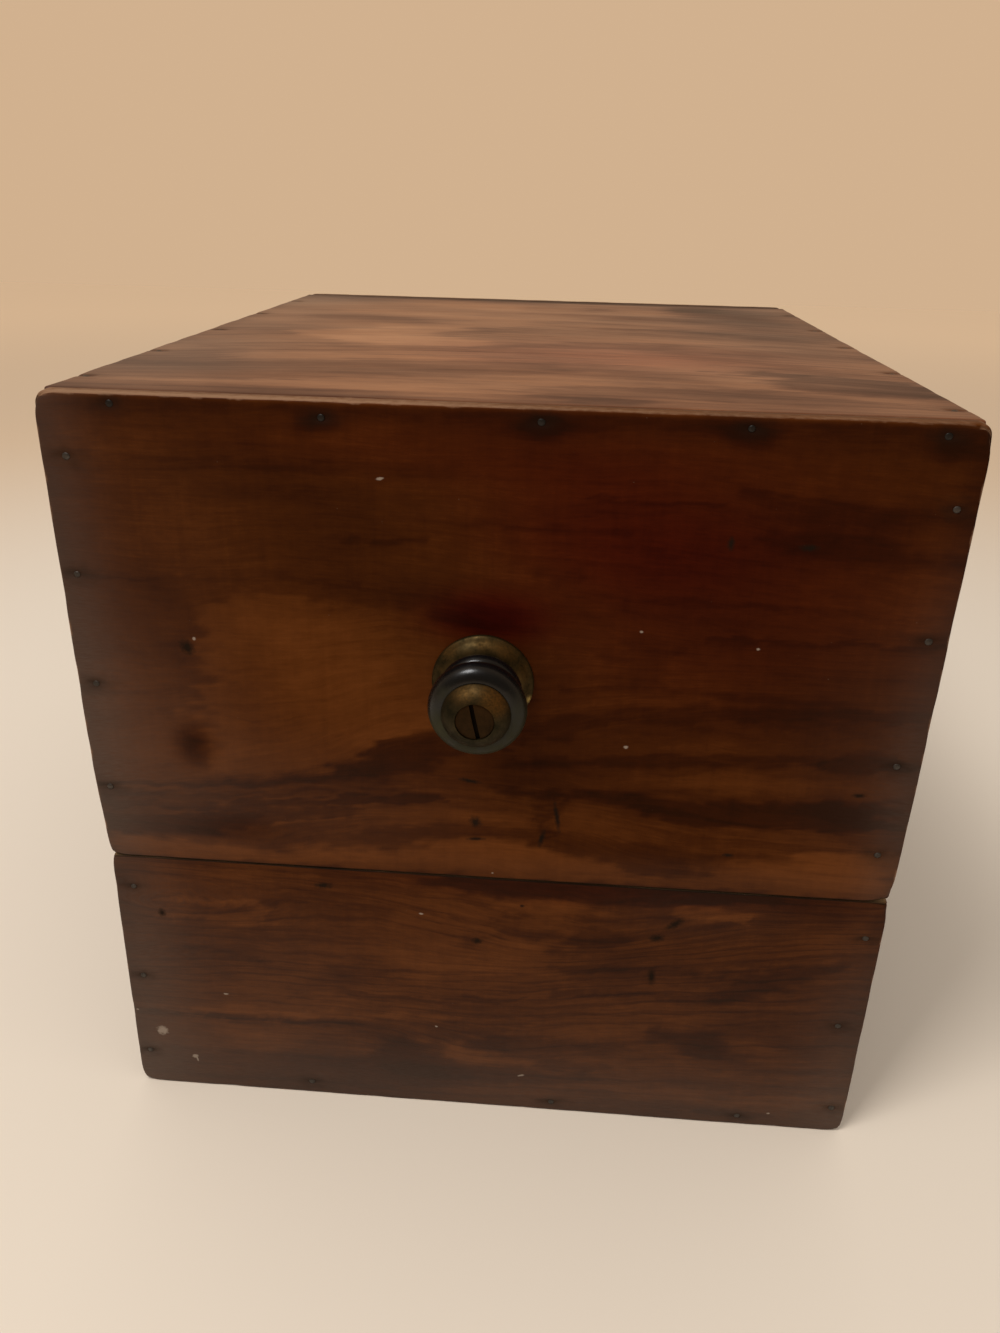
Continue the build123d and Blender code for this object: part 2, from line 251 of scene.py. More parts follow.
# the old varnished pine
pineLook = {
    "layers": {  # scales along the grain, across it and into the board, then detail and roughness
        "broad": ((0.010, 0.060, 0.04), 2.0, 0.5), "middle": ((0.030, 0.28, 0.2), 3.0, 0.55),
        "feather": ((0.11, 0.95, 0.5), 4.0, 0.62), "fine": ((0.07, 1.9, 0.5), 4.0, 0.6),
        "fibre": ((0.28, 4.6, 2.0), 2.0, 0.6), "wander": ((0.004, 0.05, 0.03), 2.0, 0.5),
        "wobble": ((0.03, 0.12, 0.1), 3.0, 0.6), "fading": ((0.011, 0.10, 0.05), 2.0, 0.5),
        "pores": ((0.2, 1.6, 1.6), 3.0, 0.6),
    },
    # a growth ring darkens slowly, then stops short
    "ring": [(0.0, 0.0), (0.45, 0.25), (0.80, 1.0), (0.90, 0.85), (1.0, 0.0)],
    "spans": {  # from low and high, to low and high
        "fineShare": (0.0, 1.0, 0.4, 1.0), "ringDepth": (0.3, 0.65, 0.3, 1.3),
        "fading": (0.30, 0.58, 0.25, 1.15),
        "dust": (0.3, 0.7, 0.8, 1.15), "wearAndHighlight": (0.40, 0.95, 0.0, 0.8), "grimeAndShade": (0.25, 0.7, 0.65, 1.15),
        "dull": (0.45, 0.9, 0.0, 0.1), "specks": (0.80, 0.84, 0.0, 1.0),
    },
    "wander": 4.0, "wobble": 2.6, "endShare": 0.85, "stainShare": 0.9, "speckShare": 0.5, "fleckShare": 0.75,
    "age": (14.0, 4.0, 0.6), "rubbing": (420.0, 3.0, 0.6), "rubSwing": 0.7, "speckGrain": (1100.0, 1.0),
    "bareLevel": 0.45, "bareGloss": 0.35, "grimeGloss": 0.15, "fleckGloss": 0.3,
    "bare": [
        (0.00, (0.47, 0.315, 0.165)), (0.45, (0.37, 0.225, 0.105)), (0.75, (0.26, 0.140, 0.060)),
        (1.00, (0.13, 0.066, 0.030)),
    ],
    "endTone": [(0.3, (0.42, 0.40, 0.38)), (0.7, (0.9, 0.85, 0.8))],
    "redTint": (1.0, 0.30, 0.35), "grimeAndShade": (0.0100, 0.0062, 0.0036), "worn": (0.25, 0.135, 0.075),
    "dust": (0.110, 0.078, 0.060), "speck": (0.13, 0.075, 0.048), "fleck": (0.30, 0.235, 0.18),
}
# one varnish painted twice: the upright faces' ramp is darkened as painted shade, the top's ramp lightened as
# painted light and sheen from above
shadedFrontVarnish = [
    (0.00, (0.122, 0.0350, 0.0064)), (0.28, (0.080, 0.0216, 0.0034)), (0.52, (0.049, 0.0120, 0.0017)),
    (0.76, (0.030, 0.0066, 0.0011)), (1.00, (0.0175, 0.0044, 0.0009)),
]
litTopVarnish = [
    (0.00, (0.370, 0.156, 0.066)), (0.28, (0.242, 0.090, 0.034)), (0.52, (0.131, 0.040, 0.0140)),
    (0.76, (0.062, 0.0150, 0.0056)), (1.00, (0.030, 0.0070, 0.0030)),
]


def marksOf(place, marks, softness, raggedness):
    # marks: (x, z, half length, half height, angle) on the front, ellipses whose outline noise makes ragged
    ragged = swing(noise(place, 900.0), raggedness)
    spots = []
    for x, z, halfLong, halfHigh, angle in marks:
        ellipse = node("ShaderNodeMapping", {
            "Vector": place, "Location": (x * mm, -0.149, z * mm),
            "Scale": (halfLong * mm, 0.004, halfHigh * mm),
            "Rotation": (0.0, -math.radians(angle), 0.0)}, vector_type="TEXTURE")
        spots.append(span(plus(lengthOf(ellipse), ragged), 1.0, 1.0 - softness))
    return maths("MAXIMUM", *spots)


def bandsOf(across, bands, low, high):
    # dark lines over the grain level: (level, fade below, fade above, depth)
    level = span(across, low, high)
    ramps = []
    for start in range(0, len(bands), 7):  # a ramp holds seven lines
        stops = []
        for middle, below, above, depth in bands[start:start + 7]:
            places = (middle - below, middle - 0.15 * below, middle + 0.1 * above, middle + above)
            values = (0.0, depth, depth, 0.0)
            stops += [((place - low) / (high - low), value) for place, value in zip(places, values)]
        ramps.append(ramp(level, sorted(stops), "EASE"))
    return maths("MAXIMUM", *ramps)


def makePine(name, look):
    made = newMaterial(name)
    flow, place, spans = attribute("grainFlow", "Vector"), objectPlace(), pineLook["spans"]
    grain = {key: noise(flow, *layer) for key, layer in pineLook["layers"].items()}
    names = ("broad", "middle", "feather", "fine", "fibre")
    broad, middle, feather, fine, fibre = (grain[key] for key in names)
    across = node("ShaderNodeSeparateXYZ", {0: flow}).outputs["Y"]
    phase = plus(times(across, look["ringPitch"]), swing(grain["wander"], pineLook["wander"]))
    ring = ramp(maths("FRACT", phase, 0.0), pineLook["ring"])
    figure = attribute("figure")  # how strongly the grain shows
    brush = noise(place, look["brushWay"], 3.0, 0.6)
    mottle = noise(place, look["mottleWay"], 5.0, 0.66)
    terms = [
        swing(broad, look["broad"]),
        times(swing(middle, look["middle"]), figure),
        times(swing(fine, look["fine"]), span(figure, *spans["fineShare"])),
        times(swing(ring, 1.0, 0.35), times(attribute("ringy"), span(middle, *spans["ringDepth"]))),
        swing(feather, look["feather"]),
        swing(fibre, look["fibre"]),
        swing(mottle, look["mottle"]),
        swing(brush, look["brush"]),
        times(attribute("tone"), -1.0),
    ]
    if look["bands"]:
        wobble = plus(swing(grain["wobble"], pineLook["wobble"]), swing(feather, pineLook["wobble"]))
        drawn = bandsOf(plus(across, wobble), look["bands"], *look["levels"])
        drawn = times(drawn, span(grain["fading"], *spans["fading"]))
        terms.append(times(drawn, figure, look["bandDepth"]))
    dark = plus(*terms, look["level"])
    # redder and darker where a board carries a red tint or a painted reflection
    varnished = mix(attribute("rednessAndReflection"), ramp(dark, look["varnish"]), pineLook["redTint"], "MULTIPLY")
    # dust, and a painted pale sheen where the varnish would reflect the pale floor
    dust = times(plus(attribute("dust"), look["dust"]), span(fibre, *spans["dust"]), clamp=True)
    varnished = mix(dust, varnished, pineLook["dust"])
    # bare inside faces and sawn rims
    bareDark = plus(swing(middle, 0.30), swing(fine, 0.24), swing(ring, 0.22, 0.4), swing(broad, 0.5),
                    swing(mottle, 0.32), swing(noise(place, *pineLook["age"]), 0.9), pineLook["bareLevel"])
    bare = attribute("bare")
    colour = mix(bare, varnished, ramp(bareDark, pineLook["bare"]))
    # end grain drinks the varnish and goes dark, and rubbed edges go pale, along the lid front's upper arris
    # also as a painted highlight
    ends = times(attribute("endGrain"), pineLook["endShare"])
    colour = mix(ends, colour, ramp(grain["pores"], pineLook["endTone"]), "MULTIPLY")
    rubbed = plus(attribute("wearAndHighlight"), swing(noise(place, *pineLook["rubbing"]), pineLook["rubSwing"]))
    colour = mix(span(rubbed, *spans["wearAndHighlight"]), colour, pineLook["worn"])
    # grime and painted shade: stains at nails, knocks and the saw cut, with painted shade in the nail dimples
    # and the inside corners
    grimeAndShade = times(attribute("grimeAndShade"), span(middle, *spans["grimeAndShade"]), clamp=True)
    if look["stains"]:
        stains = marksOf(place, look["stains"], 0.75, 0.8)
        grimeAndShade = maths("MAXIMUM", grimeAndShade, times(stains, pineLook["stainShare"]))
    colour = mix(grimeAndShade, colour, pineLook["grimeAndShade"])
    gloss = plus(swing(fine, 0.10), swing(broad, 0.14), look["roughness"], times(bare, pineLook["bareGloss"]),
                 span(dark, *spans["dull"]))
    gloss = plus(gloss, times(grimeAndShade, pineLook["grimeGloss"]), clamp=True)
    specks = span(noise(place, *pineLook["speckGrain"]), *spans["specks"])
    specks = times(specks, maths("SUBTRACT", 1.0, bare), pineLook["speckShare"])
    colour = mix(specks, colour, pineLook["speck"])
    if look["flecks"]:
        flecks = marksOf(place, look["flecks"], 0.5, 1.2)
        colour = mix(times(flecks, pineLook["fleckShare"]), colour, pineLook["fleck"])
        gloss = plus(gloss, times(flecks, pineLook["fleckGloss"]), clamp=True)
    height = plus(swing(fibre, 0.35), swing(fine, 0.6), swing(ring, 0.35))
    closeMaterial({"Base Color": colour, "Roughness": gloss, "IOR": look["ior"]}, height, look["relief"], 0.5)
    return made


# dark knocks and pale flecks on the front: x, z, half length, half height, angle
frontStains = [
    (57, 81.8, 4.4, 1.7, 42), (51.9, 76, 3, 1.9, 8), (51.6, 60.8, 1.6, 4.2, 4), (-51.8, 88, 3.8, 1.5, 4),
    (-3.8, 70.4, 2.2, 1.6, 0), (-104.8, 73.4, 1.6, 1.9, 0), (10, 85, 1, 0.7, 0), (19.2, 118, 1, 6.5, 10),
    (15, 110.2, 1.1, 4, -12), (-6.8, 128.6, 4.2, 0.9, -8), (-4.8, 114.6, 2.2, 2.6, 20),
    (-4.6, 108.6, 3.6, 0.8, 6), (-86.6, 166.6, 2.4, 3.2, 30), (70, 108.2, 2, 0.9, 0),
    (104.4, 131, 2.4, 0.9, 0), (80, 203.4, 3.2, 1.2, 0), (60, 203.6, 1.2, 2.4, 0),
]
frontFlecks = [
    (-30.8, 216.9, 1.3, 0.45, 10), (-110.4, 23.5, 2.3, 2.1, 0), (-100.2, 12.9, 1.2, 0.9, 30),
    (-99.6, 12, 0.4, 1.5, 12), (11.8, 14.9, 1.3, 0.5, 20), (37.6, 142.5, 0.8, 0.6, 0),
    (-21.4, 79.5, 0.8, 0.4, 0), (-86.8, 41.5, 0.9, 0.4, 0), (39.2, 178, 0.6, 0.5, 0),
    (70.6, 174.6, 0.6, 0.5, 0), (-84.4, 169.4, 0.6, 0.6, 0), (0.6, 96.6, 0.4, 0.3, 0),
    (-16.8, 33.8, 0.5, 0.4, 0), (95, 6, 0.8, 0.4, 0), (-118, 32, 0.6, 0.4, 0),
]
# dark lines of the grain: level, fade below, fade above, depth
frontLidBands = [
    (98.5, 1.2, 0.5, 0.06), (103.2, 0.8, 0.4, 0.06), (107.5, 1.4, 0.5, 0.09), (111.2, 0.9, 0.4, 0.1),
    (114.6, 1.2, 0.5, 0.1), (117.8, 1, 0.5, 0.12), (121.2, 1, 0.4, 0.1), (125.4, 1.4, 0.5, 0.1),
    (129.2, 0.8, 0.4, 0.1), (132.4, 1.2, 0.5, 0.1), (136.8, 1.6, 0.5, 0.14), (141, 0.9, 0.4, 0.07),
    (146.2, 1.2, 0.4, 0.08), (151.4, 1.4, 0.5, 0.08), (158.5, 1, 0.4, 0.06), (166, 1.4, 0.5, 0.05),
    (175, 1, 0.5, 0.06), (185.2, 1.4, 0.6, 0.08), (193.5, 1.2, 0.5, 0.06), (201, 1, 0.4, 0.07),
    (209, 1.4, 0.5, 0.08), (216.6, 1.6, 0.6, 0.1), (222.6, 0.9, 0.4, 0.06), (228, 1.2, 0.4, 0.06),
]
frontBaseBands = [
    (5, 1.6, 0.5, 0.1), (10.5, 1, 0.4, 0.1), (16.5, 1.4, 0.5, 0.12), (22, 1, 0.4, 0.1),
    (27.5, 1.2, 0.4, 0.12), (32, 0.8, 0.4, 0.3), (36.2, 1, 0.4, 0.16), (40, 0.8, 0.4, 0.18),
    (43.4, 1.2, 0.4, 0.18), (47, 0.8, 0.4, 0.2), (50.2, 1, 0.4, 0.2), (53.6, 0.8, 0.4, 0.18),
    (56.8, 1, 0.4, 0.2), (60.4, 1.2, 0.4, 0.2), (63.8, 0.8, 0.4, 0.16), (67.4, 1.2, 0.5, 0.18),
    (71, 0.9, 0.4, 0.14), (75, 1.6, 0.5, 0.16), (79, 1, 0.4, 0.16), (82.6, 2.4, 0.5, 0.2),
    (87, 1.4, 0.5, 0.16), (91, 1.6, 0.5, 0.16),
]
topBands = [
    (12, 2, 0.8, 0.08), (26, 2.6, 0.8, 0.08), (40, 2, 0.8, 0.1), (52, 3, 0.8, 0.08), (66, 2, 0.8, 0.1),
    (78, 2.4, 0.8, 0.08), (92, 2.4, 0.8, 0.1), (106, 2, 0.8, 0.1), (121, 3, 0.8, 0.08), (138, 2.4, 0.8, 0.1),
    (156, 2.4, 0.8, 0.08), (174, 3, 0.8, 0.1), (194, 2.4, 0.8, 0.1), (216, 3, 0.8, 0.1),
    (240, 2.6, 0.8, 0.08),
]
pineLooks = {
    "frontLidPine": {
        "level": 0.54, "broad": 0.30, "middle": 0.22, "fine": 0.15, "feather": 0.30, "fibre": 0.16,
        "mottle": 0.36,
        "brush": 0.12, "brushWay": (600.0, 600.0, 30.0), "mottleWay": (110.0, 110.0, 160.0),
        "ringPitch": 0.19,
        "roughness": 0.36, "relief": 0.00005, "ior": 1.095, "dust": 0.0, "varnish": shadedFrontVarnish,
        "bandDepth": 0.7, "bands": frontLidBands, "levels": (94.0, 237.0),
        "stains": [s for s in frontStains if s[1] > 94.6], "flecks": [s for s in frontFlecks if s[1] > 94.6],
    },
    "frontBasePine": {
        "level": 0.43, "broad": 0.36, "middle": 0.36, "fine": 0.28, "feather": 0.46, "fibre": 0.20,
        "mottle": 0.56,
        "brush": 0.12, "brushWay": (700.0, 700.0, 60.0), "mottleWay": (60.0, 60.0, 130.0), "ringPitch": 0.30,
        "roughness": 0.38, "relief": 0.00006, "ior": 1.10, "dust": 0.0, "varnish": shadedFrontVarnish,
        "bandDepth": 1.0, "bands": frontBaseBands, "levels": (0.0, 96.0),
        "stains": [s for s in frontStains if s[1] < 94.6], "flecks": [s for s in frontFlecks if s[1] < 94.6],
    },
    "topPine": {
        "level": 0.44, "broad": 0.26, "middle": 0.14, "fine": 0.18, "feather": 0.24, "fibre": 0.10,
        "mottle": 0.24,
        "brush": 0.06, "brushWay": (60.0, 700.0, 700.0), "mottleWay": (50.0, 80.0, 80.0), "ringPitch": 0.16,
        "roughness": 0.36, "relief": 0.00003, "ior": 1.235, "dust": 0.0, "varnish": litTopVarnish,
        "bandDepth": 0.75, "bands": topBands, "levels": (0.0, 290.0), "stains": [], "flecks": [],
    },
    "casePine": {
        "level": 0.50, "broad": 0.40, "middle": 0.36, "fine": 0.24, "feather": 0.50, "fibre": 0.16,
        "mottle": 0.36,
        "brush": 0.08, "brushWay": (60.0, 60.0, 600.0), "mottleWay": (110.0, 110.0, 130.0), "ringPitch": 0.21,
        "roughness": 0.40, "relief": 0.00006, "ior": 1.22, "dust": 0.05, "varnish": shadedFrontVarnish,
        "bands": [], "stains": [], "flecks": [],
    },
}
pines = {name: makePine(name, look) for name, look in pineLooks.items()}
print("stage: pine materials")

# boards: a lattice shell with worn rims, grain flow, nail dimples and stains
box = {
    "halfWidth": 120.0, "halfDepth": 149.0, "height": 236.0, "cut": 94.6, "cutGap": 0.4,
    "front": 7.0, "side": 11.0, "top": 7.0, "bottom": 8.0,
    # the sides pull in at the cut, mostly the left one
    "pinch": 1.5, "pinchAbove": 35.0, "pinchBelow": 95.0, "pinchBack": 150.0,
}
lidSill = box["cut"] + box["cutGap"] / 2
baseRim = box["cut"] - box["cutGap"] / 2
innerDepth = box["halfDepth"] - box["front"]


def ripple(seed, *scaled):
    # smooth wandering from about -1 to 1, the same every run
    chance = np.random.default_rng(seed)
    total = np.zeros_like(scaled[0])
    for _ in range(7):
        angle = chance.normal(size=len(scaled))
        angle *= chance.uniform(0.6, 1.6) / np.linalg.norm(angle)
        total = total + np.sin(2 * math.pi * (sum(a * s for a, s in zip(angle, scaled)) + chance.uniform()))
    return np.clip(total / 3.2, -1, 1)


def settled(points):
    # the real box is a little pinched at the cut, more on the left
    x, y, z = points.T
    above = np.clip(1 - (z - box["cut"]) / box["pinchAbove"], 0, 1)
    below = np.clip(1 - (box["cut"] - z) / box["pinchBelow"], 0, 1)
    pinch = box["pinch"] * np.where(z > box["cut"], above, below) ** 1.3
    pinch = pinch * np.clip(1 - (y + box["halfDepth"]) / box["pinchBack"], 0, 1)
    left, right = (np.clip(way * x / box["halfWidth"], 0, 1) ** 3 for way in (-1, 1))
    return np.column_stack((x + pinch * (left - 0.3 * right), y, z))


def nailHeads(nodeName, axis, level, apart=3.5):
    # centre of each head, read off the CAD node's face at that level: points further apart make two heads
    points = np.array([v.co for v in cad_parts[nodeName].data.vertices]) / mm
    found = []
    for point in points[np.abs(points[:, axis] - level) < 0.01]:
        for group in found:
            if np.linalg.norm(group[0] - point) < apart:
                group.append(point)
                break
        else:
            found.append([point])
    return [(np.min(group, axis=0) + np.max(group, axis=0)) / 2 for group in found]


def keptLines(length, wanted):
    # lattice lines in order of importance, each kept clear of those before it
    kept = []
    for line, room in wanted:
        if -1e-6 <= line <= length + 1e-6 and all(abs(line - other) >= room for other in kept):
            kept.append(float(line))
    return np.array(sorted(kept))


def rimLines(length, arris, radius):
    steps = [0.0, arris, arris * 0.6, arris * 0.25]
    if radius > arris:
        steps += [radius, radius * 0.7, radius * 0.4]
    steps += [radius + 0.8, radius + 1.8]
    return [(s, arris * 0.2) for s in steps] + [(length - s, arris * 0.2) for s in steps]


def latticeShell(us, vs, ws):
    # the six faces of a lattice block, as points and quads that face outwards
    counts = (len(us), len(vs), len(ws))
    quads = []
    for axis, first, second in ((0, 1, 2), (1, 2, 0), (2, 0, 1)):
        a, b = np.meshgrid(np.arange(counts[first]), np.arange(counts[second]), indexing="ij")
        for end in (0, counts[axis] - 1):
            index = [None, None, None]
            index[axis], index[first], index[second] = np.full_like(a, end), a, b
            grid = (index[0] * counts[1] + index[1]) * counts[2] + index[2]
            corners = (grid[:-1, :-1], grid[1:, :-1], grid[1:, 1:], grid[:-1, 1:])
            cells = np.stack(corners, axis=-1).reshape(-1, 4)
            quads.append(cells if end else cells[:, ::-1])
    quads = np.concatenate(quads)
    used, faces = np.unique(quads, return_inverse=True)
    places = us[used // (counts[1] * counts[2])], vs[(used // counts[2]) % counts[1]], ws[used % counts[2]]
    return *places, faces.reshape(quads.shape)


def roundedBoard(u, v, w, size, arris, lowRadius, highRadius):
    # turns the sharp lattice into a board with round corners and a small arris on both faces
    length, height, thick = size
    radius = np.where(v < height / 2, lowRadius, highRadius)
    endU = np.maximum(radius - u, u - (length - radius))
    endV = np.maximum(radius - v, v - (height - radius))
    wayU = np.where(u < length / 2, -1.0, 1.0)
    wayV = np.where(v < height / 2, -1.0, 1.0)
    corner = (endU > 0) & (endV > 0)
    reach = np.where(corner, np.hypot(endU, endV), 1.0)
    shrink = np.maximum(endU, endV) / reach
    inU = -wayU * np.where(corner, endU / reach, endU > endV)
    inV = -wayV * np.where(corner, endV / reach, endV >= endU)
    edge = radius - np.maximum(endU, endV)
    middleU = np.where(wayU < 0, radius, length - radius)
    middleV = np.where(wayV < 0, radius, height - radius)
    u = np.where(corner, middleU + wayU * endU * shrink, u)
    v = np.where(corner, middleV + wayV * endV * shrink, v)
    deep = np.minimum(w, thick - w)
    nearEdge, nearFace = arris - edge, arris - deep
    rim = (nearEdge > 0) & (nearFace > 0)
    reach = np.where(rim, np.hypot(nearEdge, nearFace), 1.0)
    pull = (1 - np.where(rim, np.maximum(nearEdge, nearFace) / reach, 1.0)) * rim
    u, v = u + inU * nearEdge * pull, v + inV * nearEdge * pull
    w = w + np.where(w < thick / 2, 1, -1) * nearFace * pull
    return u, v, w, inU, inV, edge, deep


def flowAcross(x, y, guides):
    # guides: (level, [x, y, x, y, ...]) from low to high. The value runs evenly from line to line.
    heights = []
    for level, line in guides:
        shifts = (-10, -6, -3, 0, 3, 6, 10)
        heights.append(sum(np.interp(x + shift, line[::2], line[1::2]) for shift in shifts) / len(shifts))
    across = guides[0][0] + np.minimum(y - heights[0], 0)
    for (lowLevel, _), (highLevel, _), low, high in zip(guides, guides[1:], heights, heights[1:]):
        across = across + np.clip((y - low) / (high - low), 0, 1) * (highLevel - lowLevel)
    return across + np.maximum(y - heights[-1], 0)


def fade(distance, reach):
    return np.exp(-(distance / reach) ** 2)


def cornersOf(u, v, corners, share=1.0):
    # corners: u, v, reach, depth
    return sum(depth * fade(np.hypot(u - cu, v - cv), reach * share) for cu, cv, reach, depth in corners)


def patchesOf(x, y, patches):
    # soft patches: x, y, half length, half height, angle, amount
    total = np.zeros_like(x)
    for px, py, halfLong, halfHigh, angle, amount in patches:
        cos, sin = math.cos(math.radians(angle)), math.sin(math.radians(angle))
        along = ((x - px) * cos + (y - py) * sin) / halfLong
        across = ((y - py) * cos - (x - px) * sin) / halfHigh
        total = total + amount * np.exp(-(along ** 2 + across ** 2) ** 1.4)
    return total


def cloudsOf(x, y, clouds, seed):
    # light and dark clouds: amount, softness, outline as x, y, x, y. Their ends fade along the grain.
    warpX = x + 5.0 * ripple(seed, x / 26.0, y / 7.0) + 2.0 * ripple(seed + 1, x / 9.0, y / 3.5)
    warpY = y + 0.8 * ripple(seed + 2, x / 17.0, y / 6.0) + 0.5 * ripple(seed + 3, x / 6.0, y / 2.5)
    total = np.zeros_like(x)
    for amount, soft, outline in clouds:
        line = np.array(outline, float).reshape(-1, 2)
        away = np.full_like(x, 1e9)
        inside = np.zeros(len(x), bool)
        for (ax, ay), (bx, by) in zip(line, np.roll(line, -1, axis=0)):
            px, py, dx, dy = (warpX - ax) / 2.5, warpY - ay, (bx - ax) / 2.5, by - ay
            share = np.clip((px * dx + py * dy) / (dx * dx + dy * dy), 0, 1)
            away = np.minimum(away, np.hypot(px - share * dx, py - share * dy))
            if ay != by:
                inside ^= ((ay > warpY) != (by > warpY)) & (warpX < ax + (warpY - ay) * (bx - ax) / (by - ay))
        depth = np.clip(0.5 + np.where(inside, away, -away) / soft, 0, 1)
        total = total + amount * depth * depth * (3 - 2 * depth)
    return total


def plainGuides(seed, low, high, reach, sway):
    # easy curved grain for the boards that the photo does not show
    chance = np.random.default_rng(seed)
    guides = []
    phase = chance.uniform(0, 6.3)
    for share in np.linspace(0, 1, 5):
        level = low + (high - low) * share
        bow = sway * math.sin(math.pi * share) * chance.uniform(0.5, 1.2)
        line = [(x, level + bow * math.sin(phase + x / reach * 2.4)) for x in np.linspace(-reach, reach, 9)]
        guides.append((level, np.ravel(line)))
    return guides


boardLook = {
    # lattice lines along the board and across it, beside each nail
    "besideNail": ((0, 0.7, 1.35, 2.1, 3.2, 4.6), (0, 0.4, 0.8, 1.2, 1.8, 2.6)),
    "nailRoom": 0.22, "rub": 0.06, "rubSwing": 0.10, "rubFine": 0.02, "innerRub": 0.05, "rubReach": 1.6,
    "hollow": 0.05, "dimple": 0.45, "dimpleLong": 2.9, "dimpleHigh": 1.15, "dimpleSkew": 0.06,
    "dimpleGrimeAndShade": 0.62,
    "cutDarkening": 0.85, "cutReach": 2.2, "paintedCornerShade": 0.42, "cornerReach": 5.0,
    "wearAndHighlight": 0.35, "wearReach": 0.8, "cutBare": 0.75, "toneSwing": 0.10, "edgeTone": 0.20, "edgeReach": 5.0,
}
plainBoard = {  # what a board has unless its own dictionary says otherwise
    "sawn": None, "rubbedCorners": [], "wearAlong": ((-120, 120), (1.0, 1.0)), "rimWearAndHighlight": None, "loops": [],
    "patches": [], "clouds": [], "cloudDepth": 1.0, "edgeShade": 1.0, "redsAndReflections": [], "dusts": [],
    "ringy": 0.25, "ringPatches": [], "figure": 1.0, "figures": [],
}


